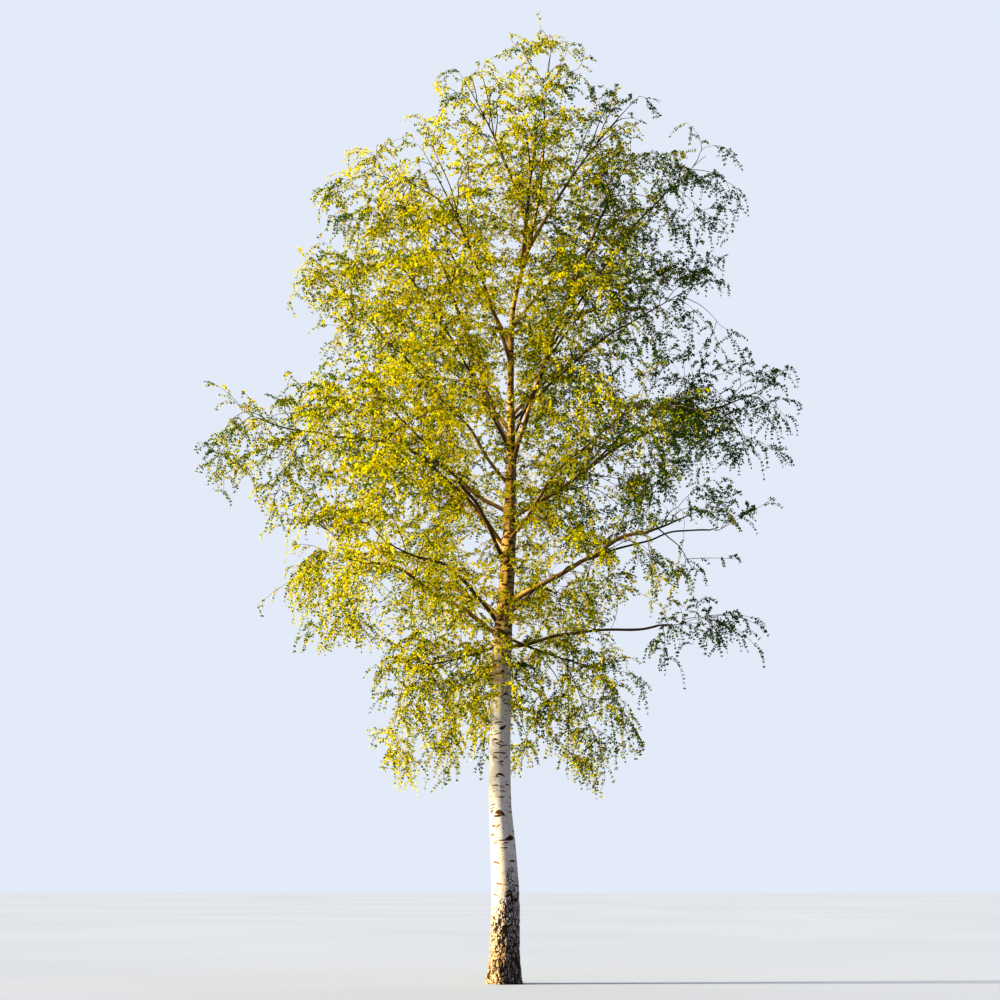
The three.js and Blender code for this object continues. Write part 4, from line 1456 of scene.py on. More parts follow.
@dataclass(frozen=True)
class WhiteBark(Finish):
    """The trunk's bark: white paper with dark dashes and scars above, dark furrows and white flakes below."""

    name: str = "white_bark"
    paper: Colour = (0.66, 0.62, 0.56)
    cream: Colour = (0.64, 0.52, 0.37)
    grey: Colour = (0.42, 0.4, 0.38)
    # Painted shade: the greyer and darker copies below colour the side turned from the key light.
    painted_shade_paper: Colour = (0.4, 0.38, 0.4)
    tan: Colour = (0.86, 0.53, 0.1)
    painted_shade_tan: Colour = (0.115, 0.088, 0.06)
    scar: Colour = (0.115, 0.05, 0.012)
    painted_shade_scar: Colour = (0.03, 0.018, 0.012)
    scar_rim: Colour = (0.4, 0.2, 0.045)
    dash: Colour = (0.105, 0.058, 0.034)
    furrow: Colour = (0.03, 0.02, 0.014)
    mark: Colour = (0.5, 0.21, 0.032)
    plate: Colour = (0.46, 0.25, 0.06)
    # Painted shade: darker copies of the plate and fleck colours for the side turned from the key light.
    painted_shade_plate: Colour = (0.085, 0.068, 0.068)
    fleck: Colour = (0.72, 0.6, 0.42)
    painted_shade_fleck: Colour = (0.4, 0.37, 0.39)
    mottling: Span = (3.2, 60.0)
    dashes: tuple[float, float, float] = (10.0, 85.0, 0.52)
    line_grain: Place = (5.0, 5.0, 160.0)
    torn_grain: Place = (30.0, 30.0, 80.0)
    blotch_grain: Place = (9.0, 9.0, 21.0)
    flake_grain: Place = (48.0, 48.0, 26.0)
    fleck_grain: Place = (70.0, 70.0, 38.0)
    turns_tan: Span = (4.6, 6.3)
    blotched: Span = (4.6, 5.6)
    flecked: Span = (0.3, 0.9)
    gloss: float = 0.35
    smooth_rough: Span = (0.58, 0.92)

    def material(self) -> Material:
        """Builds the trunk's material.

        Returns:
            The material. It reads each point's scar, furrow and foot from the mesh, and how far it is on the
            side turned from the key light, where painted shade makes the bark greyer and darker.
        """
        made, nodes, shader, place = self.start()
        form = nodes.add("ShaderNodeAttribute", attribute_name=BARK_FORM)
        shade_side = nodes.add("ShaderNodeAttribute", attribute_name=BARK_SHADE_SIDE).outputs["Fac"]
        scar, furrow, foot = nodes.parts(form.outputs["Vector"])
        height = nodes.parts(place)[2]
        broad, fine, uneven = self.mottle(nodes, place, *self.mottling)
        dashes = self.lenticels(nodes, place, *self.dashes)
        lines = nodes.noise(place, self.line_grain, 3.0, 0.6)
        ragged = nodes.noise(place, self.torn_grain, 4.0, 0.65)
        blotches = nodes.step(nodes.noise(place, self.blotch_grain, 2.5, 0.55), 0.53, 0.57)
        flakes = nodes.noise(place, self.flake_grain, 3.0, 0.6)
        flecks = nodes.noise(place, self.fleck_grain)

        torn = nodes.shifted(scar, ragged, 0.7)
        blotches = nodes.times(blotches, nodes.step(height, *self.blotched))
        scarred = nodes.maths("MAXIMUM", nodes.step(torn, 0.38, 0.52), blotches)
        furrowed = nodes.step(nodes.shifted(furrow, ragged, 0.5), 0.38, 0.62)
        flaky = nodes.step(nodes.plus(flakes, nodes.times(foot, 0.26)), 0.6, 0.67)
        few = nodes.step(height, *self.flecked, 0.07, 0.0)
        flecks = nodes.step(nodes.maths("SUBTRACT", flecks, few), 0.51, 0.55, 0.0, 0.9)

        # Painted shade: greyer paper below and darker tan above, on the side turned from the key light.
        painted_shade = nodes.mix(nodes.step(height, *self.turns_tan), self.painted_shade_paper, self.painted_shade_tan)
        white = nodes.layered(
            self.paper,
            (broad, self.cream),
            (nodes.step(lines, 0.56, 0.7, 0.0, 0.55), self.grey),
            (nodes.step(height, *self.turns_tan, 0.0, 0.95), self.tan),
            (nodes.times(shade_side, 0.85), painted_shade),
            (nodes.times(dashes, 0.9), self.dash),
            (nodes.step(torn, 0.2, 0.36, 0.0, 0.7), self.scar_rim),
            # Painted shade: scars are near-black on the side turned from the key light and orange-brown where
            # it is lit.
            (scarred, nodes.mix(shade_side, self.scar, self.painted_shade_scar)),
        )
        plate = nodes.mix(nodes.step(foot, 0.2, 0.8), self.mark, self.plate)
        rough_bark = nodes.layered(
            self.furrow,
            # Painted shade: plates and flecks darken on the side turned from the key light.
            (nodes.step(fine, 0.0, 0.8), nodes.mix(shade_side, plate, self.painted_shade_plate)),
            (flecks, nodes.mix(shade_side, self.fleck, self.painted_shade_fleck)),
        )
        broken = nodes.maths("MAXIMUM", scarred, furrowed)
        relief = nodes.plus(nodes.times(uneven, 0.5), lines)
        relief = nodes.plus(relief, nodes.times(dashes, 0.7))
        feeds = {
            "Base Color": nodes.layered(white, (flaky, rough_bark), (furrowed, self.furrow)),
            "Roughness": nodes.step(broken, 0.0, 1.0, *self.smooth_rough),
            "Specular IOR Level": self.gloss,
            "Normal": self.bump(nodes, relief, 0.6, 0.004),
        }
        nodes.feed(shader, feeds)
        return made


@dataclass(frozen=True)
class BoughBark(Finish):
    """The boughs' bark: dark brown with painted sunlit tan where they are thick, dark red-brown where they
    are thin.
    """

    name: str = "bough_bark"
    thin: Colour = (0.05, 0.03, 0.018)
    thick: Colour = (0.07, 0.04, 0.02)
    # Painted sunlight: the tan of the side that faces the key light.
    pale: Colour = (0.9, 0.54, 0.14)
    dash: Colour = (0.045, 0.026, 0.018)
    mottling: Span = (4.0, 70.0)
    ring_grain: Place = (0.6, 0.6, 0.6)
    dashes: tuple[float, float, float] = (14.0, 60.0, 0.5)
    gloss: float = 0.35
    smooth_rough: Span = (0.62, 0.85)

    def material(self) -> Material:
        """Builds the boughs' material.

        Returns:
            The material. It reads from the mesh each point's girth, its way along the limb and how far it
            is on the side that faces the key light, which it paints tan as painted sunlight.
        """
        made, nodes, shader, place = self.start()
        form = nodes.add("ShaderNodeAttribute", attribute_name=LIMB_FORM)
        girth, along, upper = nodes.parts(form.outputs["Vector"])
        broad, fine, uneven = self.mottle(nodes, place, *self.mottling)
        x, y, z = nodes.parts(nodes.stretched(place, self.ring_grain))
        dashes = self.lenticels(nodes, nodes.vector(y, z, nodes.plus(x, along)), *self.dashes)
        # Painted sunlight: the side that faces the key light turns tan on the thick boughs.
        painted_sunlit = nodes.times(nodes.step(broad, 0.0, 0.7, 0.35, 1.0), upper)
        old = nodes.step(nodes.plus(girth, nodes.times(fine, 0.16)), 0.18, 0.72)
        colour = nodes.mix(old, self.thin, nodes.mix(painted_sunlit, self.thick, self.pale))
        feeds = {
            "Base Color": nodes.mix(nodes.times(dashes, 0.8), colour, self.dash),
            "Roughness": nodes.step(fine, 0.0, 1.0, *self.smooth_rough),
            "Specular IOR Level": self.gloss,
            "Normal": self.bump(nodes, nodes.plus(uneven, nodes.times(dashes, 0.8)), 0.6, 0.004),
        }
        nodes.feed(shader, feeds)
        return made


@dataclass(frozen=True)
class TwigBark(Finish):
    """The fine twigs' bark: dark red-brown, a little warmer where it is young."""

    name: str = "twig_bark"
    dark: Colour = (0.055, 0.028, 0.015)
    warm: Colour = (0.24, 0.11, 0.034)
    mottling: Span = (2.5, 120.0)
    smooth_rough: Span = (0.5, 0.75)

    def material(self) -> Material:
        """Builds the twigs' material.

        Returns:
            The material.
        """
        made, nodes, shader, place = self.start()
        broad, fine, uneven = self.mottle(nodes, place, *self.mottling)
        feeds = {
            "Base Color": nodes.mix(nodes.weighed(broad, fine, 0.7), self.dark, self.warm),
            "Roughness": nodes.step(fine, 0.0, 1.0, *self.smooth_rough),
            "Normal": self.bump(nodes, uneven, 0.4, 0.001),
        }
        nodes.feed(shader, feeds)
        return made


@dataclass(frozen=True)
class LeafSkin(Finish):
    """A spring leaf's skin in one tint: thin, a little glossy, and lit through from behind."""

    name: str
    young: Colour
    full: Colour
    glow: Colour
    through: float = 0.36
    mottling: Span = (1.6, 26.0)
    vein_grain: Place = (190.0, 190.0, 190.0)
    gloss: float = 0.07
    smooth_rough: Span = (0.55, 0.75)

    def material(self) -> Material:
        """Builds the tint's material.

        Returns:
            The material.
        """
        made, nodes, shader, place = self.start()
        broad, fine, _ = self.mottle(nodes, place, *self.mottling)
        blend = nodes.weighed(broad, fine, 0.45)
        feeds = {
            "Base Color": nodes.mix(blend, self.full, self.young),
            "Roughness": nodes.step(fine, 0.0, 1.0, *self.smooth_rough),
            "Specular IOR Level": self.gloss,
            "Normal": self.bump(nodes, nodes.noise(place, self.vein_grain, 1.0), 0.35, 0.0015),
        }
        nodes.feed(shader, feeds)
        behind = nodes.add("ShaderNodeBsdfTranslucent", {"Color": nodes.mix(blend, self.glow, self.young)})
        shaders = {0: self.through, 1: shader.outputs[0], 2: behind.outputs[0]}
        both = nodes.add("ShaderNodeMixShader", shaders)
        nodes.feed(nodes.tree.nodes["Material Output"], {"Surface": both.outputs[0]})
        return made


LEAF_SKINS = {
    LeafTint.PALE_GOLD: LeafSkin(
        "leaf_pale_gold", (0.95, 0.81, 0.002), (0.71, 0.66, 0.002), (0.97, 0.89, 0.001)
    ),
    LeafTint.GOLD: LeafSkin("leaf_gold", (0.76, 0.54, 0.001), (0.49, 0.385, 0.001), (0.89, 0.68, 0.001)),
    LeafTint.SPRING: LeafSkin("leaf_spring", (0.31, 0.425, 0.001), (0.15, 0.245, 0.001), (0.44, 0.56, 0.001)),
    LeafTint.OLIVE: LeafSkin("leaf_olive", (0.1, 0.153, 0.001), (0.04, 0.071, 0.001), (0.15, 0.21, 0.001)),
    LeafTint.SHADE: LeafSkin("leaf_shade", (0.042, 0.1, 0.018), (0.018, 0.052, 0.012), (0.05, 0.13, 0.012)),
}


# The pieces


@dataclass(frozen=True)
class Scar:
    """A dark scar of an old branch: its turn and height on the trunk, its size, how it droops and leans."""

    turn: float
    height: float
    half_width: float
    thick: float
    droop: float
    lean: float = 0.0


@dataclass(frozen=True)
class ScarPlan:
    """The trunk's scars: the large ones of its front, each turned away from it, and many more all round."""

    front: tuple[Scar, ...] = tuple(
        Scar(*row)
        for row in (
            (-0.25, 4.98, 0.5, 0.014, 0.035, 0.01), (-0.5, 4.62, 0.45, 0.012, -0.01, 0.045),
            (0.45, 4.64, 0.5, 0.02, 0.06, -0.01), (0.55, 4.48, 0.35, 0.01, 0.0, 0.01),
            (0.25, 4.08, 0.4, 0.034, -0.03, -0.03), (-0.45, 3.9, 0.4, 0.016, 0.04),
            (-0.1, 3.68, 0.95, 0.009, 0.005, 0.006), (0.1, 3.53, 0.3, 0.01, -0.008),
            (0.05, 3.33, 0.48, 0.022, 0.035, 0.015), (-0.45, 3.15, 0.5, 0.01, 0.0, -0.006),
            (0.2, 3.06, 0.35, 0.01, 0.006, 0.01), (0.1, 2.96, 0.4, 0.012, -0.01),
            (-0.12, 2.72, 0.46, 0.04, 0.03, 0.012), (-0.3, 2.66, 0.55, 0.02, -0.01, -0.01),
            (-0.8, 2.5, 0.28, 0.016, 0.0, 0.01), (-0.95, 2.36, 0.25, 0.02, 0.01),
            (0.6, 2.3, 0.48, 0.04, 0.02, -0.012), (-0.1, 2.27, 0.9, 0.009, 0.01, -0.01),
            (0.05, 2.15, 0.32, 0.01, 0.0), (-0.7, 1.92, 0.35, 0.018, 0.01, 0.012),
            (0.7, 1.94, 0.4, 0.018, 0.015), (-0.55, 1.58, 0.5, 0.012, 0.0, 0.02),
            (-0.75, 1.4, 0.4, 0.014, 0.01, 0.02),
        )
    )
    front_turn: float = -math.pi / 2
    more: int = 300
    heights: Span = (1.2, 11.0)
    widths: Span = (0.14, 0.7)
    shorter: Span = (0.4, 1.0)
    thicks: Span = (0.005, 0.014)
    bold_from: float = 0.82
    bold: float = 2.0
    droops: Span = (-0.02, 0.045)
    droop_width: float = 0.4
    leans: Span = (-0.03, 0.03)
    tallest: float = 0.15
    dark: float = 1.25
    thinnest: float = 1e-4

    def scars(self) -> list[Scar]:
        """Lists the scars.

        Returns:
            The scars, at their turns round the trunk.
        """
        scars = [replace(scar, turn=self.front_turn + scar.turn) for scar in self.front]
        for j in range(self.more):
            height = between(*self.heights, Draw.SCAR_HEIGHT, j)
            width = between(*self.widths, Draw.SCAR_WIDTH, j) * between(*self.shorter, Draw.SCAR_SHORTER, j)
            bold = 1 if chance(Draw.SCAR_BOLD, j) < self.bold_from else self.bold
            thick = between(*self.thicks, Draw.SCAR_THICK, j) * bold
            droop = between(*self.droops, Draw.SCAR_DROOP, j) * width / self.droop_width
            lean = between(*self.leans, Draw.SCAR_LEAN, j)
            scars.append(Scar(FULL_TURN * chance(Draw.SCAR_TURN, j), height, width, thick, droop, lean))
        return scars

    def mask(self, turn: Array, z: Array) -> Array:
        """Gives how strongly places on the trunk are scarred.

        Args:
            turn: The places round the trunk, in radians.
            z: Their heights.

        Returns:
            Numbers from 0 to 1.
        """
        mask = np.zeros_like(z)
        for scar in self.scars():
            across = angle_off(turn, scar.turn) / scar.half_width
            near = (np.abs(across) < 1) & (np.abs(z - scar.height) < self.tallest)
            a = across[near]
            rise = z[near] - scar.height + scar.droop * a * a + scar.lean * a
            thick = scar.thick * (1 - a * a) + self.thinnest
            mask[near] = np.maximum(mask[near], np.clip(self.dark - np.abs(rise) / thick, 0, 1))
        return mask


@dataclass
class Trunk:
    """The white trunk, from the buttresses at its foot to its tip, with the relief of its bark."""

    line: TrunkLine
    crown: CrownFrame
    scars: ScarPlan = ScarPlan()
    foot_top: float = 2.6
    white_top: float = 6.3
    columns: tuple[int, int, int] = (160, 108, 48)
    rings: tuple[int, int, int] = (190, 330, 230)
    flare_height: float = 0.62
    flare_spread: float = 0.062
    flare_roots: int = 5
    flare_turn: float = 0.6
    flare_between: float = 0.4
    flare_at_roots: float = 0.6
    # The ragged edge of the painted shade on the side turned from the key light.
    shade_grain: SurfaceNoise = SurfaceNoise(5, 0.5, 9)
    shade_ragged: float = 0.2
    shade_edge: Span = (-0.08, 0.12)
    foot_grain: SurfaceNoise = SurfaceNoise(5, 0.3, 11)
    foot_edge: float = 1.78
    foot_lee: float = 0.36
    foot_ragged: float = 0.4
    foot_fade: float = 1.05
    warp_grain: SurfaceNoise = SurfaceNoise(7, 0.07, 30)
    warped: float = 0.08
    plate_grain: SurfaceNoise = SurfaceNoise(6, 0.11, 34)
    plate_rise: float = 0.01
    chip_grain: SurfaceNoise = SurfaceNoise(7, 0.045, 60)
    chip_turn: float = 0.4
    chip_rise: float = 0.008
    crevice_slope: float = 3.0
    chip_crevice: float = 0.9
    furrowed: Span = (0.05, 0.75)
    furrow_deep: float = 0.018
    swell_grain: SurfaceNoise = SurfaceNoise(5, 0.7, 4)
    swell: float = 0.05
    wrinkle_grain: SurfaceNoise = SurfaceNoise(8, 0.035, 7)
    wrinkle_rise: float = 0.0035
    scar_grain: SurfaceNoise = SurfaceNoise(8, 0.02, 30)
    scar_rise: float = 0.007
    scar_lift: float = 0.2
    scar_worn: float = 0.6
    collar_tall: float = 2.2
    collar_wide: float = 1.7
    collar_rise: float = 0.55
    collar_flattest: float = 0.2

    def collar(self, mass: FoliageMass, turn: Array, z: Array, radius: Array) -> Array:
        """Swells the bark where a bough leaves the trunk.

        Args:
            mass: The mass that the bough carries.
            turn: The places round the trunk, in radians.
            z: Their heights.
            radius: The trunk's radii there.

        Returns:
            How far the bark rises there.
        """
        way, thick = mass.bough.ways([0.0])[0], mass.plan.thick
        off = angle_off(turn, math.atan2(way[1], way[0]))
        exit_rise = way[2] / max(math.hypot(way[0], way[1]), self.collar_flattest) * radius
        rise = (z - mass.root[2] - exit_rise) / (self.collar_tall * thick)
        side = off * radius / (self.collar_wide * thick)
        return self.collar_rise * thick * np.exp(-(rise**2) - side**2)

    def surface(self, turn: Array, z: Array) -> tuple[Array, Array, Array]:
        """Shapes the bark.

        Args:
            turn: The places round the trunk, in radians.
            z: Their heights.

        Returns:
            The points, the scar, furrow and foot at each, and how far each is on the side turned from the
            key light, which the bark's colour darkens as painted shade.
        """
        middle, radius = self.line.at(z)
        # Painted shade: 0 on the side facing the key light (-X), 1 on the side turned from it.
        shade_side = ramp(np.cos(turn) + self.shade_ragged * (self.shade_grain.at(turn, z) - 0.5), *self.shade_edge)
        edge = self.foot_edge + self.foot_lee * shade_side + self.foot_ragged * (self.foot_grain.at(turn, z) - 0.5)
        foot = ramp(edge - z, 0.0, self.foot_fade)
        warp = turn + self.warped * (self.warp_grain.at(turn, z) - 0.5)
        plates, chips = self.plate_grain.at(warp, z), self.chip_grain.at(warp + self.chip_turn, z)
        wide, narrow = (1 - np.abs(2 * grain - 1) * self.crevice_slope for grain in (plates, chips))
        crevice = np.maximum(wide, self.chip_crevice * narrow)
        furrow = np.clip(crevice, 0, 1) * ramp(foot, *self.furrowed)
        scar = self.scars.mask(turn, z) * (1 - self.scar_worn * foot)
        fade = np.clip(1 - z / self.flare_height, 0, 1) ** 2
        roots = np.cos(self.flare_roots * (turn - self.flare_turn))
        r = radius + self.flare_spread * fade * (self.flare_between + self.flare_at_roots * roots)
        r = r - self.furrow_deep * furrow
        r = r + self.chip_rise * foot * (chips - 0.5) + self.plate_rise * foot * (plates - 0.5)
        r = r + radius * self.swell * (self.swell_grain.at(turn, z) - 0.5)
        r = r + self.wrinkle_rise * (1 - foot) * (self.wrinkle_grain.at(turn, z) - 0.5)
        r = r + self.scar_rise * scar * (self.scar_grain.at(turn, z) + self.scar_lift)
        for mass in self.crown.masses:
            if mass.bough and not mass.plan.on:
                r = r + self.collar(mass, turn, z, radius)
        return middle + level_way(turn, r), np.stack([scar, furrow, foot], axis=-1), shade_side

    def build(self) -> Piece:
        """Builds the trunk's bark as one closed mesh.

        Returns:
            The piece, which replaces the trunk's solid.
        """
        spans = ((0.0, self.foot_top), (self.foot_top, self.white_top), (self.white_top, self.line.tip))
        rows, parts, count = [], [], 0
        for (low, high), sides, rings in zip(spans, self.columns, self.rings):
            levels = np.linspace(low, high, rings, endpoint=high == self.line.tip)
            turn = np.broadcast_to(FULL_TURN * np.arange(sides) / sides, (rings, sides))
            z = np.broadcast_to(levels[:, None], (rings, sides))
            parts.append(self.surface(turn.ravel(), z.ravel()))
            rows += [(count + i * sides, sides) for i in range(rings)]
            count += rings * sides
        points, forms, shade_sides = (np.concatenate(part) for part in zip(*parts))
        faces = [stitched(low, high) for low, high in zip(rows, rows[1:])]
        for (first, sides), order in ((rows[0], [0, 2, 1]), (rows[-1], [0, 1, 2])):
            fan = np.array([(first, first + k, first + k + 1) for k in range(1, sides - 1)])
            faces.append(fan[:, order])
        work = MeshWork()
        work.add(points, np.concatenate(faces), forms)
        made = work.piece("trunk_bark", WhiteBark().material(), True, BARK_FORM)
        # Keeps the painted-shade mask for the material.
        painted_shade = made.data.attributes.new(BARK_SHADE_SIDE, "FLOAT", "POINT")
        painted_shade.data.foreach_set("value", shade_sides.astype(np.float32))
        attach(made, "root")
        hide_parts("trunk")
        return made


def stitched(low: tuple[int, int], high: tuple[int, int]) -> Array:
    """Joins two rings of points that may have different numbers of them.

    Args:
        low: The lower ring's first point and how many it has.
        high: The same of the upper ring.

    Returns:
        The triangles between them.
    """
    (a, n), (b, m) = low, high
    if n == m:
        k = np.arange(n)
        right = (k + 1) % n
        one = np.stack([a + k, a + right, b + right], axis=1)
        two = np.stack([a + k, b + right, b + k], axis=1)
        return np.concatenate([one, two])
    faces, i, j = [], 0, 0
    while i < n or j < m:
        if j == m or (i < n and (i + 1) * m <= (j + 1) * n):
            faces.append((a + i % n, a + (i + 1) % n, b + j % m))
            i += 1
        else:
            faces.append((a + i % n, b + (j + 1) % m, b + j % m))
            j += 1
    return np.array(faces)


def girth_of(radii: Array) -> Array:
    """How old the bark of limbs looks for their radii: 0 on twigs, 1 on the thickest boughs."""
    return np.clip((radii - YOUNG_RADIUS) / OLDER_BY, 0, 1)


@dataclass
class Boughs:
    """The boughs, which leave the trunk and each other and rise to the masses of foliage."""

    crown: CrownFrame
    sides: int = 14
    rings: int = 44
    first_seed: int = 100
    knob_tall: float = 0.09
    knobs_round: int = 4
    knobs: float = 0.16
    slim: float = 0.8
    slim_to: Span = (0.5, 1.0)
    # Painted sunlight: how much of the side facing the key light turns tan.
    sunlit_base: float = 0.35
    sunlit_slope: float = 1.1
    sunlit_side: Place = (-0.62, -0.2, 0.76)

    def build(self) -> Piece:
        """Builds all the boughs.

        Returns:
            The piece, which replaces the boughs' solids.
        """
        work = MeshWork()
        shares = np.linspace(0, 1, self.rings)
        slim = self.slim + (1 - self.slim) * ramp(shares, *self.slim_to)
        turn = np.broadcast_to(FULL_TURN * np.arange(self.sides) / self.sides, (self.rings, self.sides))
        masses = [mass for mass in self.crown.masses if mass.bough]
        for mass in masses:
            radii = self.crown.bough_radii(mass, shares) * slim
            along = np.broadcast_to((shares * mass.bough.length())[:, None], turn.shape)
            grain = SurfaceNoise(self.first_seed + mass.index, self.knob_tall, self.knobs_round)
            wide = radii[:, None] * (1 + self.knobs * (grain.at(turn, along) - 0.5))
            line = self.crown.bough_line(mass, shares)
            points, faces, out = tubes(line[None], wide[None], self.sides)
            girth = girth_of(np.repeat(radii, self.sides))
            # Painted sunlight: the share of the sunlit tan on the side facing the key light.
            upper = np.clip(self.sunlit_base + self.sunlit_slope * out @ np.array(self.sunlit_side), 0, 1)
            work.add(points, faces, np.stack([girth, along.ravel(), upper], axis=1))
        made = work.piece("bough_bark", BoughBark().material(), True, LIMB_FORM)
        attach(made, "root")
        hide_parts(*(f"bough_{mass.plan.name}" for mass in masses))
        return made


@dataclass
class Limbs:
    """The stems and twigs of the masses, which the solids have too."""

    crown: CrownFrame
    openness: Openness
    sides: int = 7
    rings: int = 14
    crooked: float = 0.014
    stem_end: float = 0.0032
    stem_fade: float = 0.8
    twig_fade: float = 0.62
    usual_length: float = 1.6
    # Painted sunlight: the base and the slope of the tan on the upper side.
    sunlit_base: float = 0.6

    def build(self, material: Material) -> Piece:
        """Builds all the stems and their twigs.

        Args:
            material: The finish that they share with the boughs.

        Returns:
            The piece, which replaces the solids of the masses of foliage together with the finer growth.
        """
        work = MeshWork()
        shares = np.linspace(0, 1, self.rings)
        bend = np.sin(math.pi * shares)[:, None]
        for mass in self.crown.masses:
            lines = [mass.stem.at(shares * self.openness.kept_share(mass))]
            radii = [mass.stem_radius + (self.stem_end - mass.stem_radius) * shares**self.stem_fade]
            for twig in self.openness.kept_twigs(mass):
                lines.append(twig.line.at(shares))
                radii.append(twig.thick * (1 - self.twig_fade * shares))
            for k in range(len(lines)):
                stray = luck_of(Draw.LIMB_SWAY, mass.index, k).normal(0, self.crooked, 3)
                lines[k] = lines[k] + stray * np.sin(FULL_TURN * shares)[:, None] * bend
            points, faces, out = tubes(np.array(lines), np.array(radii), self.sides)
            girth = girth_of(np.repeat(np.array(radii).ravel(), self.sides))
            along = np.tile(np.repeat(shares * self.usual_length, self.sides), len(lines))
            # Painted sunlight: the upper side is painted paler, as if lit from above.
            upper = np.clip(self.sunlit_base + self.sunlit_base * out[:, 2], 0, 1)
            work.add(points, faces, np.stack([girth, along, upper], axis=1))
        made = work.piece("stems_and_twigs", material, True, LIMB_FORM)
        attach(made, "root")
        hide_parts(*self.crown.foliage_nodes())
        return made


@dataclass
class Twigwork:
    """The branchlets, each as far as its last fine twig, and the fine twigs that hang from them."""

    crown: CrownFrame
    sprays: Sprays
    fine: FineTwigs
    branchlet_sides: int = 4
    branchlet_rings: int = 5
    branchlet_fade: float = 0.5
    fine_sides: int = 3
    fine_rings: int = 3
    fine_thick: float = 0.0026
    fine_tip: float = 0.0011
    most: int = 12_500

    def build(self) -> list[Piece]:
        """Builds the branchlets in one piece and the fine twigs in as many as keep small enough.

        Returns:
            The pieces.
        """
        material = TwigBark().material()
        shares = np.linspace(0, 1, self.branchlet_rings)
        radii = self.sprays.radii[:, None] * (1 - self.branchlet_fade * shares)
        leafy = np.unique(self.fine.sprays)
        last = np.zeros(self.sprays.count)
        np.maximum.at(last, self.fine.sprays, self.fine.shares)
        lines = self.sprays.arcs.at(shares * last[:, None])[leafy]
        jobs = [("branchlets", lines, radii[leafy], self.branchlet_sides)]
        shares = np.linspace(0, 1, self.fine_rings)
        lines = self.fine.arcs.at(shares)
        radii = np.broadcast_to(self.fine_thick + (self.fine_tip - self.fine_thick) * shares, lines.shape[:2])
        for part, first in enumerate(range(0, len(lines), self.most)):
            some = slice(first, first + self.most)
            jobs.append((f"fine_twigs_{part + 1}", lines[some], radii[some], self.fine_sides))
        made = []
        for name, lines, radii, sides in jobs:
            work = MeshWork()
            work.add(*tubes(lines, radii, sides)[:2])
            made.append(work.piece(name, material, True))
        for piece in made:
            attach(piece, "root")
            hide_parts(*self.crown.foliage_nodes())
        return made


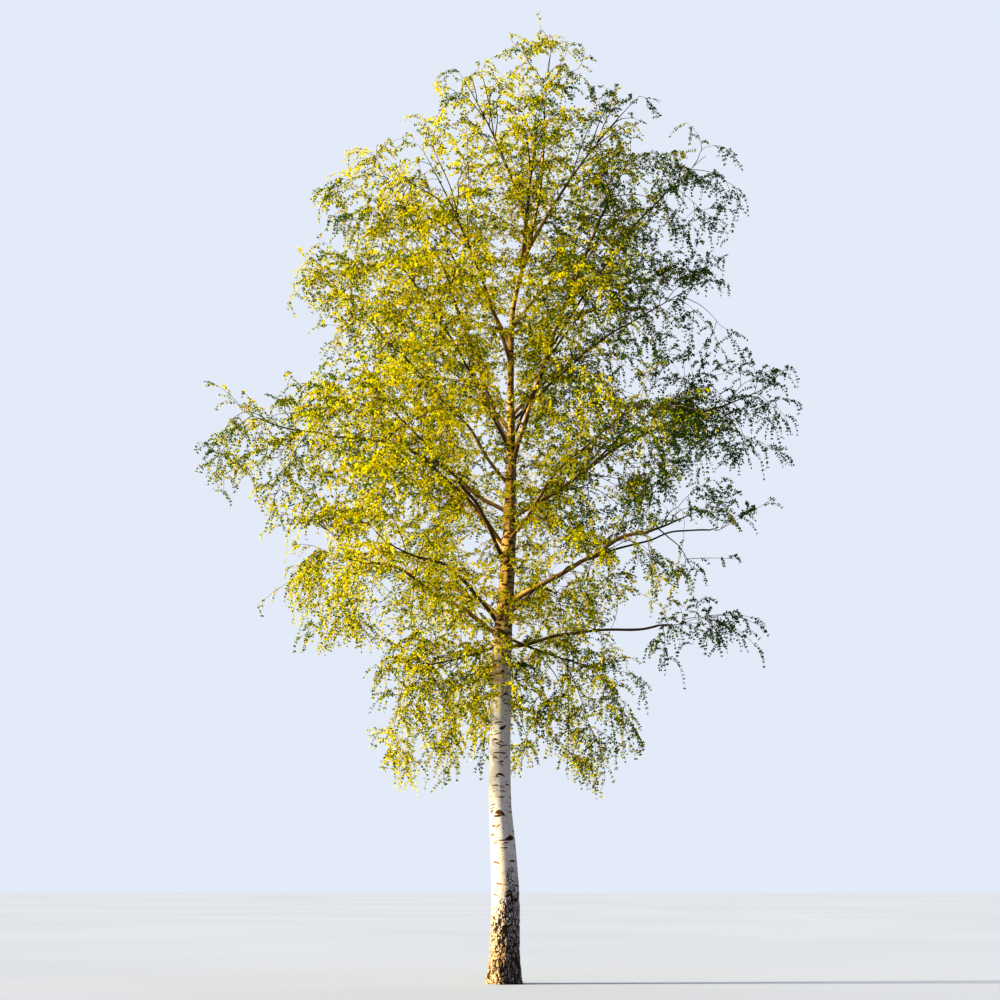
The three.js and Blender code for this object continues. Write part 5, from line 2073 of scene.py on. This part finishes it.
@dataclass
class Leaves:
    """The leaves, two to four from each short shoot of the fine twigs, in tints that go by the spray.

    A leaf's outline gives each point's share of the way along it, its share of the width and its rise.
    """

    crown: CrownFrame
    sprays: Sprays
    fine: FineTwigs
    fewest_shoots: int = 2
    shoot_gap: float = 0.045
    shoot_shift: Span = (0.5, 1.0)
    leaves_of_shoot: tuple[int, int] = (2, 5)
    turn_stray: float = 0.3
    side_stray: float = 0.05
    long: Span = (0.027, 0.055)
    wide: float = 0.66
    spread: float = 0.85
    onward: float = 0.3
    droop: float = 0.5
    way_stray: float = 0.25
    face_up: float = 0.4
    face_out: float = 0.3
    face_stray: float = 0.7
    outline: tuple[Place, ...] = ((0.0, 0.0, 0.0), (0.56, 0.5, 0.14), (1.0, 0.0, -0.1), (0.56, -0.5, 0.14))
    pattern: tuple[tuple[int, int, int], ...] = ((0, 2, 1), (0, 3, 2))
    # Painted light and shade: tints are paler on the crown's left and front, towards the key light, and
    # darker on its right and back. The low glow paints a paler band low in the crown.
    sunny: float = 0.72
    sunny_left: float = -0.055
    shaded_right: float = 0.21
    shaded_back: float = 0.05
    low_glow: float = 0.16
    low_glow_height: float = 6.5
    low_glow_reach: float = 1.1
    tint_stray: float = 0.17
    tint_edges: tuple[float, ...] = (-0.82, -0.56, -0.4, -0.24)
    twig_strays: tuple[int, ...] = (-1, 0, 0, 1)
    leaf_strays: tuple[int, ...] = (-2, -1, -1, 0, 0, 1, 1, 2, 2, 3)
    most: int = 90_000

    def tints(self) -> Array:
        """Deals a tint to every spray by its place, as painted sunlight and shade, and by chance.

        Returns:
            For each spray, the number of its tint.
        """
        x, y, z = self.sprays.arcs.end.T
        glow = self.low_glow * np.exp(-(((z - self.low_glow_height) / self.low_glow_reach) ** 2))
        # Painted light and shade: paler to the left and front, darker to the right and back.
        side = np.where(x < 0, self.sunny_left, self.shaded_right)
        sunny = self.sunny - side * x - self.shaded_back * y + glow
        sunny = sunny + luck_of(Draw.TINTS).normal(0, self.tint_stray, len(x))
        return np.digitize(-sunny, self.tint_edges)

    def shoots(self, luck: Luck) -> tuple[Array, Array, Array]:
        """Spaces the short shoots along the fine twigs, the last of each at its tip.

        Args:
            luck: The random numbers.

        Returns:
            For each shoot, its twig's number, its place and the direction of the twig there.
        """
        counts = np.maximum(self.fewest_shoots, np.round(self.fine.lengths / self.shoot_gap)).astype(int)
        twig, number = numbered(counts)
        last = number == counts[twig] - 1
        shift = np.where(last, 1.0, luck.uniform(*self.shoot_shift, len(twig)))
        s = ((number + shift) / counts[twig])[:, None]
        line = self.fine.arcs.picked(twig)
        points = (line.start, line.bend, line.end)
        return twig, curve(*points, s), curve_way(*points, s)

    def blades(self) -> tuple[Array, Array]:
        """Shapes all the leaves: broadest below their middle, pointed, and folded a little along the midrib.

        Returns:
            The leaves' points, (n, 4, 3), and the number of the fine twig that bears each.
        """
        luck = luck_of(Draw.LEAVES)
        twig, place, way = self.shoots(luck)
        counts = luck.integers(*self.leaves_of_shoot, len(twig))
        shoot, number = numbered(counts)
        size = (len(shoot), 3)
        first = unit(np.cross(way, UP) + luck.normal(0, self.side_stray, way.shape))[shoot]
        way = way[shoot]
        second = np.cross(way, first)
        turn = FULL_TURN * (number / counts[shoot] + luck.uniform(0, 1, len(twig))[shoot])
        turn = (turn + luck.normal(0, self.turn_stray, len(shoot)))[:, None]
        radial = first * np.cos(turn) + second * np.sin(turn)
        out = radial * self.spread + way * self.onward - UP * self.droop
        out = unit(out + luck.normal(0, self.way_stray, size))
        face = unit(UP * self.face_up + radial * self.face_out + luck.normal(0, self.face_stray, size))
        across = unit(np.cross(out, face))
        face = np.cross(across, out)
        along, aside, raised = (np.array(row)[:, None] for row in zip(*self.outline))
        long = luck.uniform(*self.long, len(shoot))[:, None, None]
        shape = out[:, None] * along + across[:, None] * (aside * self.wide) + face[:, None] * raised
        return place[shoot][:, None] + long * shape, twig[shoot]

    def leaf_tints(self, twig: Array) -> Array:
        """Deals a tint to every leaf, its spray's or one near it.

        Args:
            twig: The number of the fine twig that bears each leaf.

        Returns:
            For each leaf, the number of its tint. Only a spray of the last tint has leaves of it.
        """
        luck = luck_of(Draw.STRAY_TINTS)
        last = len(LEAF_SKINS) - 1
        strays = luck.choice(self.twig_strays, len(self.fine.sprays))[twig]
        strays = strays + luck.choice(self.leaf_strays, len(twig))
        own = self.tints()[self.fine.sprays][twig]
        strays = np.where(own == last, np.maximum(strays, -1), strays)
        return np.clip(own + strays, 0, np.maximum(own, last - 1))

    def build(self) -> list[Piece]:
        """Builds the leaves, each tint in pieces of its own.

        Returns:
            The pieces.
        """
        points, twig = self.blades()
        tint = self.leaf_tints(twig)
        made = []
        for index, (name, skin) in enumerate(LEAF_SKINS.items()):
            chosen = np.flatnonzero(tint == index)
            material = skin.material()
            for part, start in enumerate(range(0, len(chosen), self.most)):
                some = points[chosen[start : start + self.most]]
                firsts = np.arange(len(some)) * len(self.outline)
                work = MeshWork()
                work.add(some.reshape(-1, 3), (np.array(self.pattern) + firsts[:, None, None]).reshape(-1, 3))
                made.append(work.piece(f"leaves_{name.value}_{part + 1}", material, False))
        for piece in made:
            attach(piece, "root")
            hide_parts(*self.crown.foliage_nodes())
        return made


# The studio


@dataclass(frozen=True)
class PaleFloor(Finish):
    """The studio's floor: pale and matt, with a faint unevenness."""

    name: str = "pale_floor"
    light: Colour = (0.5, 0.53, 0.6)
    dark: Colour = (0.47, 0.5, 0.57)
    mottling: Span = (0.05, 3.0)

    def material(self) -> Material:
        """Builds the floor's material.

        Returns:
            The material.
        """
        made, nodes, shader, place = self.start()
        broad = self.mottle(nodes, place, *self.mottling)[0]
        colour = nodes.mix(broad, self.light, self.dark)
        nodes.feed(shader, {"Base Color": colour, "Roughness": 1.0, "Specular IOR Level": 0.0})
        return made


@dataclass
class Studio:
    """The pale floor, the soft lights and the camera at the photo's angle."""

    floor_radius: float = 400.0
    floor_rings: tuple[float, ...] = (0.05, 0.25, 1.0)
    floor_sides: int = 96
    key_from: Place = (-0.96, -0.07, 0.25)
    key_colour: Colour = (1.0, 0.9, 0.7)
    key_strength: float = 9.0
    key_softness: float = 0.16
    sky_colour: Colour = (0.85, 0.9, 1.0)
    sky_strength: float = 0.66
    fill_strength: float = 0.51
    camera_place: Place = EYE
    camera_tilt: float = 10.9
    camera_lens: float = 72.0
    camera_sensor: float = 36.0
    camera_clip: Span = (0.5, 2000.0)

    def build(self) -> None:
        """Sets up the floor, the lights and the camera."""
        self.build_floor()
        self.build_lights()
        self.build_camera()

    def build_floor(self) -> None:
        """Lays the floor under the tree."""
        n = self.floor_sides
        ring = level_way(np.linspace(0, FULL_TURN, n, endpoint=False))
        points = [np.zeros((1, 3))] + [ring * self.floor_radius * share for share in self.floor_rings]
        faces = [(0, 1 + k, 1 + (k + 1) % n) for k in range(n)]
        for i in range(len(self.floor_rings) - 1):
            for k in range(n):
                a, b = 1 + i * n + k, 1 + i * n + (k + 1) % n
                faces += [(a, a + n, b + n), (a, b + n, b)]
        work = MeshWork()
        work.add(np.concatenate(points), np.array(faces))
        work.piece("floor", PaleFloor().material(), False)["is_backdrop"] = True

    def build_lights(self) -> None:
        """Hangs the warm key light and sets the pale surroundings."""
        lamp = bpy.data.lights.new("key", "SUN")
        lamp.energy, lamp.angle, lamp.color = self.key_strength, self.key_softness, self.key_colour
        key = bpy.data.objects.new("key", lamp)
        key.rotation_mode = "QUATERNION"
        key.rotation_quaternion = Vector(self.key_from).to_track_quat("Z", "Y")
        bpy.context.scene.collection.objects.link(key)
        world = bpy.data.worlds.new("surroundings")
        world.use_nodes = True
        nodes = Recipe(world.node_tree)
        seen = nodes.add("ShaderNodeLightPath").outputs["Is Camera Ray"]
        strength = nodes.step(seen, 0.0, 1.0, self.fill_strength, self.sky_strength)
        nodes.feed(world.node_tree.nodes["Background"], {"Color": self.sky_colour, "Strength": strength})
        bpy.context.scene.world = world
        bpy.context.scene.view_settings.view_transform = "Standard"
        bpy.context.scene.view_settings.look = "High Contrast"

    def build_camera(self) -> None:
        """Places the camera where the photo was taken from."""
        lens = bpy.data.cameras.new("camera")
        lens.lens, lens.sensor_width = self.camera_lens, self.camera_sensor
        lens.clip_start, lens.clip_end = self.camera_clip
        camera = bpy.data.objects.new("camera", lens)
        camera.location = self.camera_place
        camera.rotation_euler = (math.radians(90 + self.camera_tilt), 0.0, 0.0)
        bpy.context.scene.collection.objects.link(camera)
        bpy.context.scene.camera = camera


def main() -> None:
    """Builds the birch from its trunk out to its leaves, and then the studio round it."""
    logging.basicConfig(level=logging.INFO, format="%(name)s: %(message)s")
    line = TrunkLine()
    crown = CrownFrame(line)
    openness = Openness(crown)
    inner = InnerGrowth(crown, openness)
    sprays = FinerGrowth(crown, openness, inner).grow()
    fine = FineGrowth(crown, openness, inner).grow(sprays)
    log.info("%d sprays, %d fine twigs", sprays.count, len(fine.lengths))
    Trunk(line, crown).build()
    boughs = Boughs(crown).build()
    Limbs(crown, openness).build(boughs.active_material)
    Twigwork(crown, sprays, fine).build()
    Leaves(crown, sprays, fine).build()
    Studio().build()


if __name__ == "__main__":
    main()
